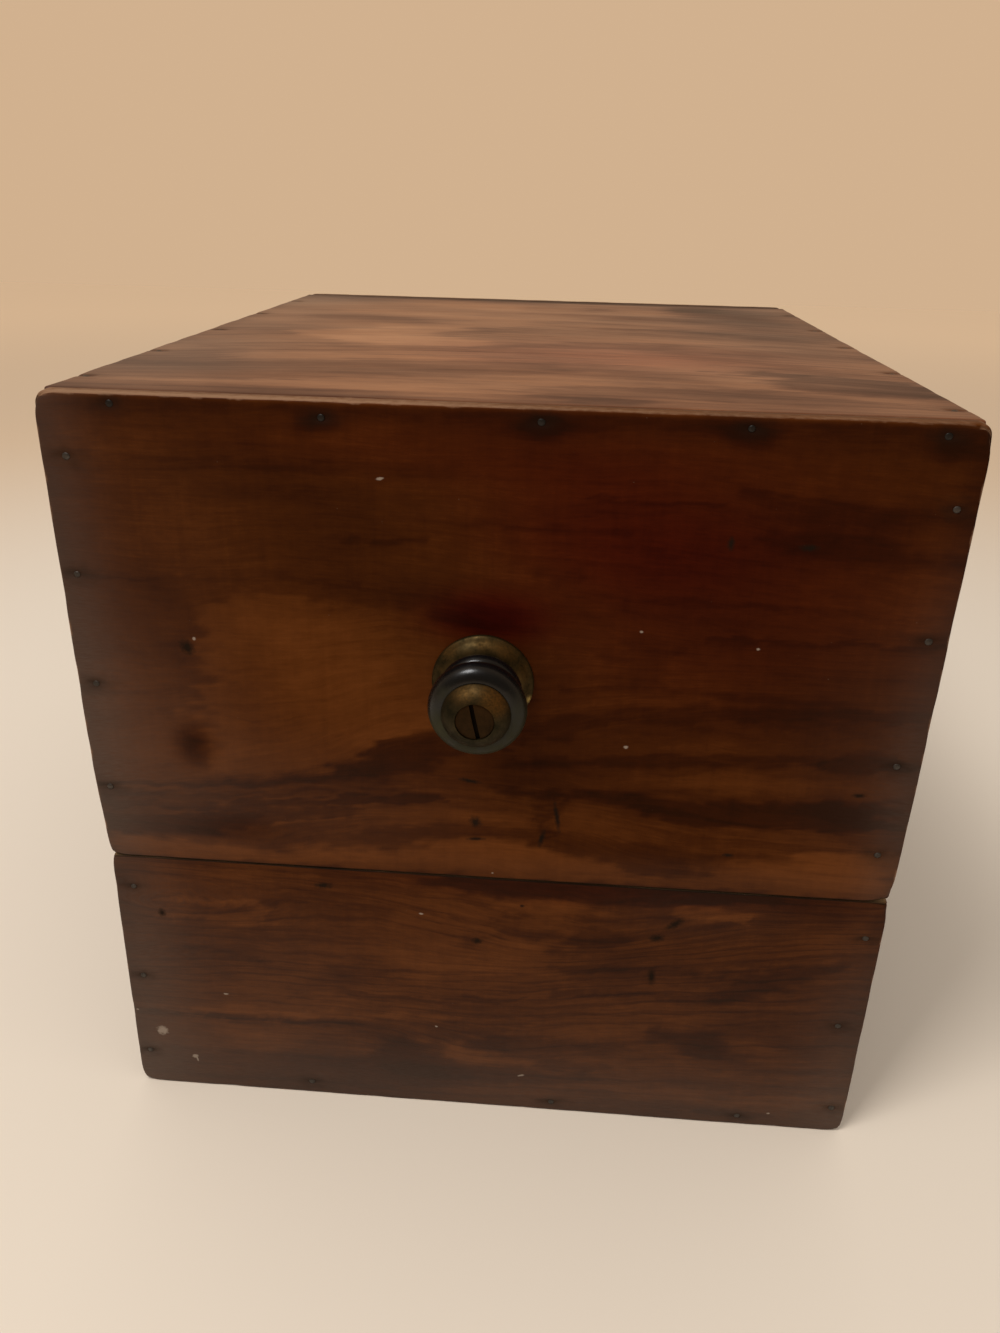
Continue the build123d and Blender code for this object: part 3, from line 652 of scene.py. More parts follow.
def makeBoard(name, spec):
    spec, look = {**plainBoard, **spec}, boardLook
    (length, height, thick), arris, seed, sawn = (spec[key] for key in ("size", "arris", "seed", "sawn"))
    origin, *axes = (np.array(a, float) for a in (spec["origin"], *spec["axes"]))
    heads = np.array(spec["nails"]).reshape(-1, 3) - origin
    heads = heads @ axes[0], heads @ axes[1]
    lines = []
    for reach, centres, steps in zip((length, height), heads, look["besideNail"]):
        wanted = rimLines(reach, arris, max(spec["lowRadius"], spec["highRadius"]))
        wanted += [(c + way * step, look["nailRoom"]) for step in steps for c in centres for way in (-1, 1)]
        rest = np.linspace(0, reach, round(reach / spec["spacing"]) + 1)
        lines.append(keptLines(reach, wanted + [(line, spec["spacing"] * 0.5) for line in rest]))
    wanted = rimLines(thick, arris, arris)[:8] + [(line, 0.6) for line in np.linspace(0, thick, 4)]
    lines.append(keptLines(thick, wanted))
    flatU, flatV, flatW, faces = latticeShell(*lines)
    fromCut = {"low": flatV, "high": height - flatV}.get(sawn, np.full_like(flatV, 99.0))
    crisp = np.clip((fromCut - 1.0) / 4.0, 0, 1)  # 0 along the saw cut, where the edges stay sharp
    u, v, w, inU, inV, edge, deep = roundedBoard(
        flatU, flatV, flatW, spec["size"], arris * (0.35 + 0.65 * crisp),
        spec["lowRadius"], spec["highRadius"])
    outer = flatW < thick / 2
    face = np.where(flatW < arris * 1.01, 1.0, 0.0)  # on or beside the outer face

    # worn rims, always inwards
    along = flatU + flatV
    rub = look["rub"] + look["rubSwing"] * np.maximum(0, ripple(seed, along / 26.0))
    rub = rub + look["rubFine"] * np.maximum(0, ripple(seed + 1, along / 9.0))
    rub = np.where(outer, rub * (0.25 + 0.75 * crisp), look["innerRub"])
    rub = rub + outer * cornersOf(u, v, spec["rubbedCorners"])
    w = w + np.where(outer, 1, -1) * fade(edge, look["rubReach"]) * rub * (deep < arris * 1.01)
    onSide = fade(deep, look["rubReach"]) * rub * (edge < arris * 1.01)
    u, v = u + inU * onSide, v + inV * onSide

    # gentle hollows over the outer face, and a dimple at each nail, drawn out along the grain
    w = w + face * look["hollow"] * (1 + ripple(seed + 2, u / 70.0, v / 45.0))
    grimeAndShade = np.zeros_like(u)
    for number, (cu, cv) in enumerate(zip(*heads)):
        du, dv = u - cu, v - cv
        slant = look["dimpleSkew"] * math.sin(number * 2.3) * du
        lens = (du / look["dimpleLong"]) ** 2 + ((dv - slant) / look["dimpleHigh"]) ** 2
        w = w + face * look["dimple"] * np.exp(-lens ** 1.3)
        cloud = (du / spec["stain"][0]) ** 2 + (dv / spec["stain"][1]) ** 2
        cloud = np.maximum(cloud * (1 + 0.4 * ripple(seed + 3 + number, u / 5.0, v / 4.0)), 0)
        # each dimple is darkened: grime and painted shade in the hollow
        grimeAndShade = np.maximum(grimeAndShade, look["dimpleGrimeAndShade"] * np.exp(-lens * 0.8))
        grimeAndShade = np.maximum(grimeAndShade, spec["stain"][2] * np.exp(-cloud))

    # darker along the saw cut, and painted shade in the corners inside
    onCut = fromCut < arris * 0.5
    fromCorner = np.minimum(flatU, length - flatU) - spec["covered"][0]
    for side, away in (("low", flatV), ("high", height - flatV)):
        if side != sawn:
            fromCorner = np.minimum(fromCorner, away - spec["covered"][1])
    fromCorner = np.maximum(fromCorner, 0) * (1 + 0.5 * ripple(seed + 6, flatU / 30.0, flatV / 30.0))
    grimeAndShade = np.maximum(grimeAndShade * face, look["cutDarkening"] * onCut * fade(flatW, look["cutReach"]))
    inCorner = look["paintedCornerShade"] * (flatW > thick * 0.9) * np.exp(-fromCorner / look["cornerReach"])
    grimeAndShade = np.maximum(grimeAndShade, inCorner)

    # where each point lies on the flow of the grain
    planX, planY = origin @ axes[0] + flatU, origin @ axes[1] + flatV
    across = flowAcross(planX, planY, spec["guides"])
    for bx, by, halfLong, halfHigh, lift in spec["loops"]:
        across = across + lift * fade(planX - bx, halfLong) * fade(planY - by, halfHigh)
    across = across + 0.7 * ripple(seed + 20, planX / 60.0, planY / 22.0)
    across = across + 0.3 * ripple(seed + 21, planX / 22.0, planY / 9.0)

    # masks for the material
    wearAndHighlight = fade(np.hypot(edge, deep), look["wearReach"]) * look["wearAndHighlight"]
    wearAndHighlight = wearAndHighlight * (1 + ripple(seed + 5, along / 13.0)) * outer
    wearAndHighlight = wearAndHighlight * (0.1 + 0.9 * crisp) * np.interp(planX, *spec["wearAlong"])
    wearAndHighlight = wearAndHighlight + 0.5 * cornersOf(u, v, spec["rubbedCorners"], 0.8) * fade(np.minimum(edge, deep), 1.2)
    if spec["rimWearAndHighlight"]:  # the rubbed upper edge, lightened further by a painted highlight along its arris
        rubbed = np.interp(planX, *spec["rimWearAndHighlight"]) * np.interp(flatW, (0, 1.5, 4.5), (1.0, 1.0, 0.62))
        wearAndHighlight = np.maximum(wearAndHighlight, (flatV > height - arris * 0.5) * (deep > arris * 0.2) * rubbed)
    inside = (flatW > thick - arris * 1.01) & (edge > arris * 0.5)
    ends = np.minimum(flatU, length - flatU) < arris * 0.8
    tone = patchesOf(planX, planY, spec["patches"])
    tone = tone + cloudsOf(planX, planY, spec["clouds"], seed + 40) * spec["cloudDepth"]
    tone = tone + look["toneSwing"] * ripple(seed + 8, planX / 90.0, planY / 60.0)
    tone = tone - look["edgeTone"] * fade(edge, look["edgeReach"]) * face * spec["edgeShade"]
    masks = {
        "grainFlow": np.column_stack((planX + seed * 37.0, across + flatW * 0.55, flatW)),
        "tone": tone,
        "figure": np.clip(spec["figure"] + patchesOf(planX, planY, spec["figures"]), 0, 1.6),
        "ringy": np.clip(spec["ringy"] + patchesOf(planX, planY, spec["ringPatches"]), 0, 1),
        "rednessAndReflection": np.clip(patchesOf(planX, planY, spec["redsAndReflections"]), 0, 1) * face,
        "dust": np.clip(patchesOf(planX, planY, spec["dusts"]), 0, 1) * outer,
        "bare": np.maximum(inside, look["cutBare"] * onCut * (deep > arris * 0.5)),
        "endGrain": ends & (deep > arris * 0.4),
        "wearAndHighlight": np.clip(wearAndHighlight, 0, 1.5),
        "grimeAndShade": np.clip(grimeAndShade, 0, 1),
    }
    mesh = bpy.data.meshes.new(name)
    world = settled(origin + np.column_stack((u, v, w)) @ np.array(axes))
    mesh.from_pydata(world * mm, [], faces if np.linalg.det(axes) > 0 else faces[:, ::-1])
    smooth(mesh)
    for key, values in masks.items():
        storeAttribute(mesh, key, values)
    showPiece(name, mesh, spec["body"], "varnished_pine", pines[spec["pine"]], spec["node"])
    print("board", name, len(mesh.polygons), "quads")


# Grain lines and marks are in millimetres, as x and z on upright boards and as x and y on flat ones.
# guides: level, line. patches, red tints with painted reflections, and dust with painted sheen: x, y, half
# length, half height, angle, amount.
# clouds: amount, softness, outline. loops: x, y, half length, half height, lift.
# rubbedCorners: u, v, reach, depth.
lidFrontBoard = {
    "node": "lid_front_board", "body": "lid", "pine": "frontLidPine", "seed": 11,
    "origin": (-box["halfWidth"], -box["halfDepth"], lidSill), "axes": ((1, 0, 0), (0, 0, 1), (0, 1, 0)),
    "size": (240.0, box["height"] - lidSill, box["front"]), "arris": 0.6, "lowRadius": 1.5, "highRadius": 3,
    "spacing": 1.4, "sawn": "low", "covered": (box["side"], box["top"]),
    "nails": nailHeads("lid_front_nails", 1, -149), "stain": (4.6, 2.4, 0.55),
    "rubbedCorners": [
        (0, 141.2, 4, 1.1), (240, 141.2, 5, 1.3), (240, 0, 4.5, 0.9), (0, 0, 3, 0.5),
    ],
    "wearAlong": ((-120, -112, -60, 0, 60, 112, 120), (1.5, 1.2, 1.1, 0.8, 0.5, 0.8, 1.3)),
    "rimWearAndHighlight": ((-120, -100, -60, -20, 20, 60, 120), (1.1, 1.04, 0.98, 0.86, 0.62, 0.56, 0.48)),
    "ringy": 0.05, "ringPatches": [(-70, 112, 60, 10, 0, 0.12), (80, 125, 50, 18, 0, 0.08)],
    "cloudDepth": 1.25, "figure": 0.5, "figures": [(-60, 112, 90, 20, 6, 0.4), (60, 118, 90, 28, -2, 0.3)],
    "guides": [
        (95, [-120, 95, 120, 95]),
        (106, [-120, 106.5, -69, 102.5, -35, 110.5, -5, 112.5, 20, 111.5, 45, 103.5, 68, 102.5, 120, 102.5]),
        (123, [-120, 117.5, -64, 125.5, -20, 128.5, 15, 126.5, 45, 122.5, 120, 120.5]),
        (137, [-120, 120.5, -64, 125.8, -49, 129.5, -35, 137.5, -25, 143, 0, 142.5, 15, 142.5, 35, 149.5,
         75, 154.5, 120, 155.5]),
        (182, [-120, 187, -85, 185.5, -59, 188, -25, 186.5, 0, 183.5, 35, 180.5, 75, 177.5, 120, 177.5]),
        (216, [-120, 216.5, -65, 218, -5, 217, 55, 218.5, 75, 215.5, 120, 213.5]),
        (235.5, [-120, 235.5, 120, 235.5]),
    ],
    # among the patches, the dark spots above the knob are a painted reflection of it, the dark patches over
    # the upper right a painted darker reflection, and the last one, along the upper edge, painted light
    # matching the lit top
    "patches": [
        (-88, 135, 5, 6, 0, -0.52), (-88.5, 165.5, 5, 5, 0, -0.18), (-70, 142, 30, 5, 6, -0.05),
        (-3, 179, 13, 5, 0, -0.2), (-92, 182, 9, 5, -35, -0.1), (100, 122, 7, 4, 0, -0.1),
        (60, 190, 50, 30, 0, -0.06), (-60, 205, 50, 14, 0, -0.03), (98, 104, 20, 7, 0, 0.1),
        (28, 118, 9, 5, 0, 0.14), (0, 108, 160, 12, 0, 0.07), (115, 200, 8, 20, 0, 0.1),
        (50, 105, 10, 4, 0, 0.03), (85, 133, 40, 4, 0, 0.06), (0, 226, 110, 8, 0, -0.03),
        (60, 146, 34, 3, 3, 0.06), (-20, 123, 40, 3, 4, 0.05), (-100, 150, 22, 40, 0, 0.1),
        (-92, 99, 40, 5, -3, 0.14), (-40, 100, 40, 5, 0, 0.06), (10, 98, 40, 4, 0, 0.06),
        (-60, 117, 36, 3, 8, 0.15), (20, 115, 40, 5, -2, 0.06), (-40, 106, 24, 4, 8, 0.12),
        (50, 131, 50, 4, 1, 0.05), (70, 150, 50, 4, 2, -0.12), (0, 181, 26, 9, 0, -0.08),
        (70, 190, 40, 18, 0, -0.08), (88, 104, 36, 5, 4, -0.05), (-92, 98.5, 26, 4, -3, 0.05),
        (20, 147, 20, 2.4, 4, 0.05), (-80, 107, 14, 4, 0, -0.16), (34, 112, 14, 3, 0, 0.05),
        (-100, 150, 16, 30, 0, 0.04), (88, 228, 34, 6, 0, -0.06), (-46.5, 231.5, 6, 2.6, -6, -0.26),
        (-49, 229, 4, 2.4, 20, -0.16), (10, 231, 6.5, 3, 4, -0.3), (13, 232.4, 7, 1.8, 0, -0.18),
        (62, 231.2, 6.5, 2.6, 0, -0.3), (58, 232.6, 7, 1.8, 0, -0.16), (111, 230, 6, 3, 0, -0.26),
        (-101, 232, 5, 2.2, 0, -0.14), (0, 237.2, 400, 1.9, 0, 0.48),
    ],
    "clouds": [
        (0.19, 3, [-84, 126, -62, 127, -46, 130, -37, 136, -30, 141.5, -20, 143.5, -8, 146, 0, 160, -6, 176,
         -24, 181, -50, 183, -72, 183, -79, 178, -84, 172, -83, 164, -80, 158, -86, 150, -84, 138]),
        (-0.22, 1.8, [-42, 130.8, -36, 136.8, -30, 142, -20, 144.5, -6, 144, 2, 143, -4, 138, -20, 134,
         -24, 129, -36, 128]),
        (-0.23, 1.2, [-122, 121.6, -90, 122.2, -66, 125.2, -50, 128.2, -42, 131.2, -36, 128, -52, 125.3,
         -70, 122.2, -95, 120.2, -122, 119.8]),
        (-0.16, 2, [6, 142, 14, 143, 24, 145.5, 38, 150.2, 60, 151.8, 96, 154, 122, 155, 122, 159, 60, 157,
         34, 155, 10, 149]),
        (-0.17, 1.6, [4, 134, 20, 135, 40, 136.6, 60, 138.2, 96, 140.2, 96, 142.4, 60, 141.4, 38, 139.4,
         20, 137.4, 4, 137]),
        (-0.29, 2, [-6, 125.8, 20, 126.8, 36, 127.6, 50, 126.2, 62, 125.8, 80, 126.8, 95, 128.8, 116, 129.4,
         114, 121, 104, 117.8, 90, 118.8, 70, 117.8, 52, 118.8, 42, 122, 30, 125, 0, 124.4]),
        (-0.13, 1.8, [-70, 100.5, -60, 105.5, -55, 108.5, -40, 108, -24, 112, -4, 113.8, 14, 113.4, 30, 113,
         46, 111, 56, 107.7, 70, 108.7, 77, 108.2, 70, 106, 62, 104, 60, 100.2, 48, 100.2, 36, 102.2,
         26, 105, 16, 109, 0, 109.6, -14, 108.6, -26, 106.4, -34, 103, -44, 103.4, -55, 104, -66, 100]),
        (0.25, 2.2, [-122, 95, -122, 103, -74, 100, -62, 99.4, -45, 102.8, -30, 102.2, -20, 107, 0, 108.8,
         14, 108.2, 24, 104, 34, 101.6, 46, 99.6, 62, 99.4, 64, 103, 74, 105, 90, 107, 100, 112, 122, 112,
         122, 95]),
        (0.12, 2, [-30, 121, -10, 118, 10, 118, 14, 115, -4, 115, -24, 113.6, -40, 110.4, -60, 110, -80, 106,
         -80, 109, -56, 114, -36, 118.6]),
        (-0.25, 1, [-122, 114.6, -90, 115.6, -64, 118.6, -40, 121.4, -20, 123.2, -16, 121, -40, 118.8,
         -60, 116.2, -80, 113.2, -122, 112.4]),
        (-0.24, 1.2, [-122, 109.8, -96, 110.6, -78, 113, -58, 115.4, -40, 117.6, -36, 115.6, -56, 112.2,
         -70, 109, -86, 104.6, -110, 103, -122, 104]),
        (-0.14, 1, [-122, 117.6, -88, 118.4, -68, 120.4, -50, 123.2, -26, 124.6, -26, 123.4, -50, 121.8,
         -68, 119, -88, 117, -122, 116.4]),
        (0.08, 1, [-118, 119.6, -84, 120.6, -62, 123.6, -44, 125.4, -16, 126.8, -16, 125.8, -44, 124.2,
         -62, 122.2, -84, 119.4, -118, 118.6]),
        (-0.18, 1, [13.5, 107.6, 15.5, 107.8, 17.8, 116, 20, 124, 18, 126, 15.5, 118]),
        (-0.18, 1.4, [92, 143, 104, 144.5, 118, 144, 118, 139, 106, 136.5, 92, 138]),
        (-0.17, 4, [70, 207, 84, 208, 104, 205, 122, 202, 122, 199, 96, 199, 84, 201, 72, 202]),
        (-0.13, 4, [58, 221, 76, 216, 100, 214.6, 122, 217, 122, 210, 92, 210, 74, 211, 60, 216]),
        (-0.13, 3, [32, 175, 44, 176, 50, 168, 48, 161, 36, 162, 33, 168]),
        (-0.13, 2, [10, 194.5, 20, 195, 24, 192, 16, 189.5, 10, 191]),
        (-0.16, 1, [-42, 201.2, -16, 201.2, -16, 199.8, -42, 200]),
        (-0.13, 1, [24, 214.8, 54, 214.2, 54, 212.8, 24, 213.2]),
        (-0.1, 1.4, [-10, 206.8, 22, 206.6, 42, 205, 20, 204.6, -10, 205.4]),
        (-0.16, 1, [58, 177.8, 90, 177.4, 122, 178.6, 122, 177, 92, 176, 58, 176.6]),
        (-0.09, 1.4, [-122, 188.6, -90, 187.6, -60, 190, -30, 187, -30, 185.4, -60, 188, -90, 185.8,
         -122, 186.6]), (-0.13, 1.2, [16, 160.8, 70, 161.2, 100, 159, 100, 157.2, 70, 158.8, 16, 159.2]),
        (-0.09, 1.2, [26, 188.2, 60, 187.4, 104, 186, 104, 184.6, 60, 185.8, 26, 186.6]),
        (-0.08, 2, [-100, 221, -50, 220, -10, 221, -10, 219, -50, 217.6, -100, 218.4]),
        (-0.08, 4, [-58, 234, -48, 228, -34, 231, -20, 233, -4, 232, 9, 228, 22, 232, 46, 233, 60, 228.5,
         74, 233, 100, 232, 112, 227, 119, 229, 119, 235, -58, 235]),
    ],
    # red tints, and painted reflection: the dark red spot above the knob stands for its reflection, the wide
    # ones for a darker reflection over the upper right
    "redsAndReflections": [
        (32, 205, 40, 18, -8, 0.45), (-2, 180, 17, 8, 0, 0.9), (62, 190, 56, 36, 0, 0.45),
        (0, 226, 70, 10, 0, 0.3),
    ],
    # dust and painted pale sheen near the left and right edges
    "dusts": [
        (-126, 160, 18, 120, 0, 0.36), (-124, 125, 44, 50, 0, 0.26), (-70, 112, 60, 26, 0, 0.1),
        (124, 130, 14, 60, 0, 0.27), (124, 140, 34, 50, 0, 0.09), (60, 97, 80, 8, 0, 0.08),
        (-124, 190, 50, 60, 0, 0.05), (-88, 135, 7, 8, 0, -0.14), (-80, 107, 16, 5, 0, -0.08),
    ],
}
baseFrontBoard = {
    "node": "base_front_board", "body": "base", "pine": "frontBasePine", "seed": 12,
    "origin": (-box["halfWidth"], -box["halfDepth"], 0), "axes": ((1, 0, 0), (0, 0, 1), (0, 1, 0)),
    "size": (240.0, baseRim, box["front"]), "arris": 0.6, "lowRadius": 2.5, "highRadius": 1.5, "spacing": 1.4,
    "sawn": "high", "covered": (box["side"], box["bottom"]), "nails": nailHeads("base_front_nails", 1, -149),
    "stain": (4.2, 2, 0.46),
    "rubbedCorners": [
        (0, 0, 3.5, 0.6), (240, 0, 3.5, 0.5), (240, 94.4, 4, 0.9), (0, 94.4, 3, 0.5),
    ],
    "ringy": 0.05, "ringPatches": [(60, 55, 80, 16, 0, 0.05)], "figure": 0.9, "cloudDepth": 1.45,
    "guides": [
        (1.5, [-120, 1.5, 120, 1.5]),
        (32, [-120, 32.5, -75, 32, -38, 32.5, -21, 30.5, 3, 27.5, 35, 31.5, 75, 34.5, 120, 38.5]),
        (61, [-120, 54.5, -65, 57.5, -25, 56.5, 15, 60.5, 45, 64.5, 75, 69.5, 120, 76.5]),
        (81, [-120, 88.5, -85, 87.5, -59, 86.5, -35, 83.5, -5, 76.5, 15, 70.8, 35, 71, 55, 77.5, 75, 82.5,
         120, 87.5]), (94, [-120, 94.5, 120, 94.5]),
    ],
    "loops": [(-104, 76, 34, 6.5, 7.5), (-2, 26, 26, 6, 3)],
    "patches": [
        (0, 62, 24, 9, 0, 0.12), (27, 70, 14, 5, 10, 0.05), (30, 92, 40, 3, 0, 0.06),
        (-24, 91, 14, 3, -6, 0.18), (-6, 71, 30, 2.4, 4, -0.06), (90, 62, 34, 8, 12, -0.08),
        (100, 50, 26, 24, 0, -0.12), (104, 20, 18, 20, 0, -0.06), (-76, 23, 16, 5, 0, 0.14),
        (-46, 23, 8, 5, 0, 0.06), (-20, 45, 40, 6, 8, 0.05), (40, 46, 24, 4, 4, 0.05),
        (-80, 46, 30, 8, 0, 0.05), (30, 36, 22, 3, 3, 0.1), (88, 35, 12, 4, -8, 0.1),
        (60, 16, 30, 4, 4, 0.06), (-45, 52, 14, 7, 12, -0.1), (-6, 70, 3, 3, 0, -0.2),
        (-40, 86, 40, 3, -3, 0.07), (-60, 92.4, 44, 4, 0, 0.2), (68, 86, 12, 3, 0, 0.12),
        (-85, 75.5, 16, 3, 0, -0.08), (96, 88, 14, 5, 0, -0.14), (80, 24, 30, 4, 4, 0.06),
        (-12, 23, 12, 4, 0, 0.28), (112, 15, 14, 6, 0, -0.1), (40, 45, 30, 6, 4, 0.08),
        (90, 30, 16, 4, 0, 0.1), (10, 84, 20, 3, 0, -0.1),
    ],
    "clouds": [
        (-0.22, 2.2, [-22, 95, -16, 91, -6, 87.4, 2, 88.5, 16, 88.2, 30, 87.6, 44, 88, 52, 90, 60, 89.4,
         72, 90.5, 86, 92, 86, 95]),
        (0.14, 1.8, [-2, 84, 6, 87.4, 18, 87.8, 30, 86.6, 37, 83.6, 24, 81.6, 8, 81.6]),
        (0.22, 1.4, [53, 85, 58, 88.6, 68, 89.2, 78, 87.6, 83, 83, 70, 84, 60, 83.6]),
        (-0.18, 2.4, [21, 68, 25, 74.5, 33, 78.5, 46, 78, 42, 72, 30, 67]),
        (-0.14, 2, [1, 72, 1, 79.5, 10, 80, 19, 76, 14, 71]),
        (0.19, 1.4, [-104, 70, -96, 71.6, -80, 70.4, -70, 71.4, -65, 76, -72, 80.2, -88, 80.2, -104, 80]),
        (-0.16, 1.6, [-106, 78, -90, 78.6, -78, 76.8, -84, 74.2, -104, 73.4]),
        (-0.22, 3, [51, 39.5, 62, 40.6, 77, 40, 79, 34, 86, 30.2, 76, 27.6, 65, 28, 59, 33, 51, 37]),
        (-0.2, 3.2, [-40, 29, -21, 28, -17, 21, -8, 18, 20, 17, 30, 19, 38, 16, 30, 13, 0, 10, -30, 11,
         -36, 18]), (-0.14, 3, [-120, 17, -60, 17, -36, 18, -10, 15, -6, 8, -36, 4, -60, 3, -120, 4]),
        (0.15, 1, [-122, 36.2, -100, 35.8, -60, 36.6, -30, 37.8, -8, 39.2, -8, 37.4, -40, 34.6, -80, 33.2,
         -122, 33.6]), (-0.22, 1, [-116, 32.6, -80, 32.4, -45, 33.2, -45, 31.2, -80, 30.4, -116, 30.8]),
        (-0.16, 2.6, [-4, 33, 10, 33.4, 24, 31.6, 46, 31.4, 46, 28, 24, 26, 4, 24, -6, 28]),
        (-0.17, 1.8, [16, 24, 30, 23, 44, 21, 30, 18, 18, 19]),
        (-0.08, 3.4, [-52, 56, -38, 60, -24, 58, -30, 52, -46, 50]),
        (-0.17, 2, [74, 60, 92, 68, 116, 74, 116, 70, 96, 62, 84, 54, 70, 52]),
        (-0.16, 1.2, [22, 62, 40, 64, 74, 65, 92, 70, 92, 67.6, 70, 62.4, 40, 61.6, 22, 60]),
        (-0.16, 1.2, [-110, 60.6, -80, 60, -70, 56, -80, 57, -110, 58.6]),
        (-0.14, 1.2, [20, 52, 50, 54.4, 80, 53.6, 80, 51.6, 50, 51.6, 20, 50]),
        (-0.14, 1.2, [-70, 43, -40, 46, -10, 46, 10, 49, 10, 47, -10, 43.6, -40, 43.4, -70, 41]),
        (-0.17, 1.4, [72, 6, 86, 6.6, 98, 4.6, 86, 2.6, 72, 3.4]),
        (0.14, 2, [-20, 26, -10, 29, -2, 24, 16, 20, -4, 18.6, -16, 21]),
        (0.15, 2.6, [36, 12, 60, 15, 100, 14, 120, 16, 120, 10, 80, 8, 50, 8]),
    ],
    "redsAndReflections": [(34, 93, 60, 5, 0, 0.3)],
    # dust and painted pale sheen, strongest along the lower edge where the varnish would reflect the floor
    "dusts": [
        (-128, 45, 28, 90, 0, 0.4), (0, -8, 400, 32, 0, 0.32), (128, 26, 24, 60, 0, 0.28),
        (-90, 45, 44, 44, 0, 0.08), (0, 14, 400, 66, 0, 0.14), (66, 86, 30, 10, 0, 0.05),
    ],
}


def topLine(depth, bow, tilt=0.0):
    # a grain line of the top that bows towards the back, depth measured from the front face
    line = []
    for x, share in ((-120, -1.0), (-80, -0.45), (-40, -0.1), (0, 0.0), (50, -0.12), (90, -0.5), (120, -0.9)):
        line += [x, depth - box["halfDepth"] + share * bow + tilt * x / 120.0]
    return line


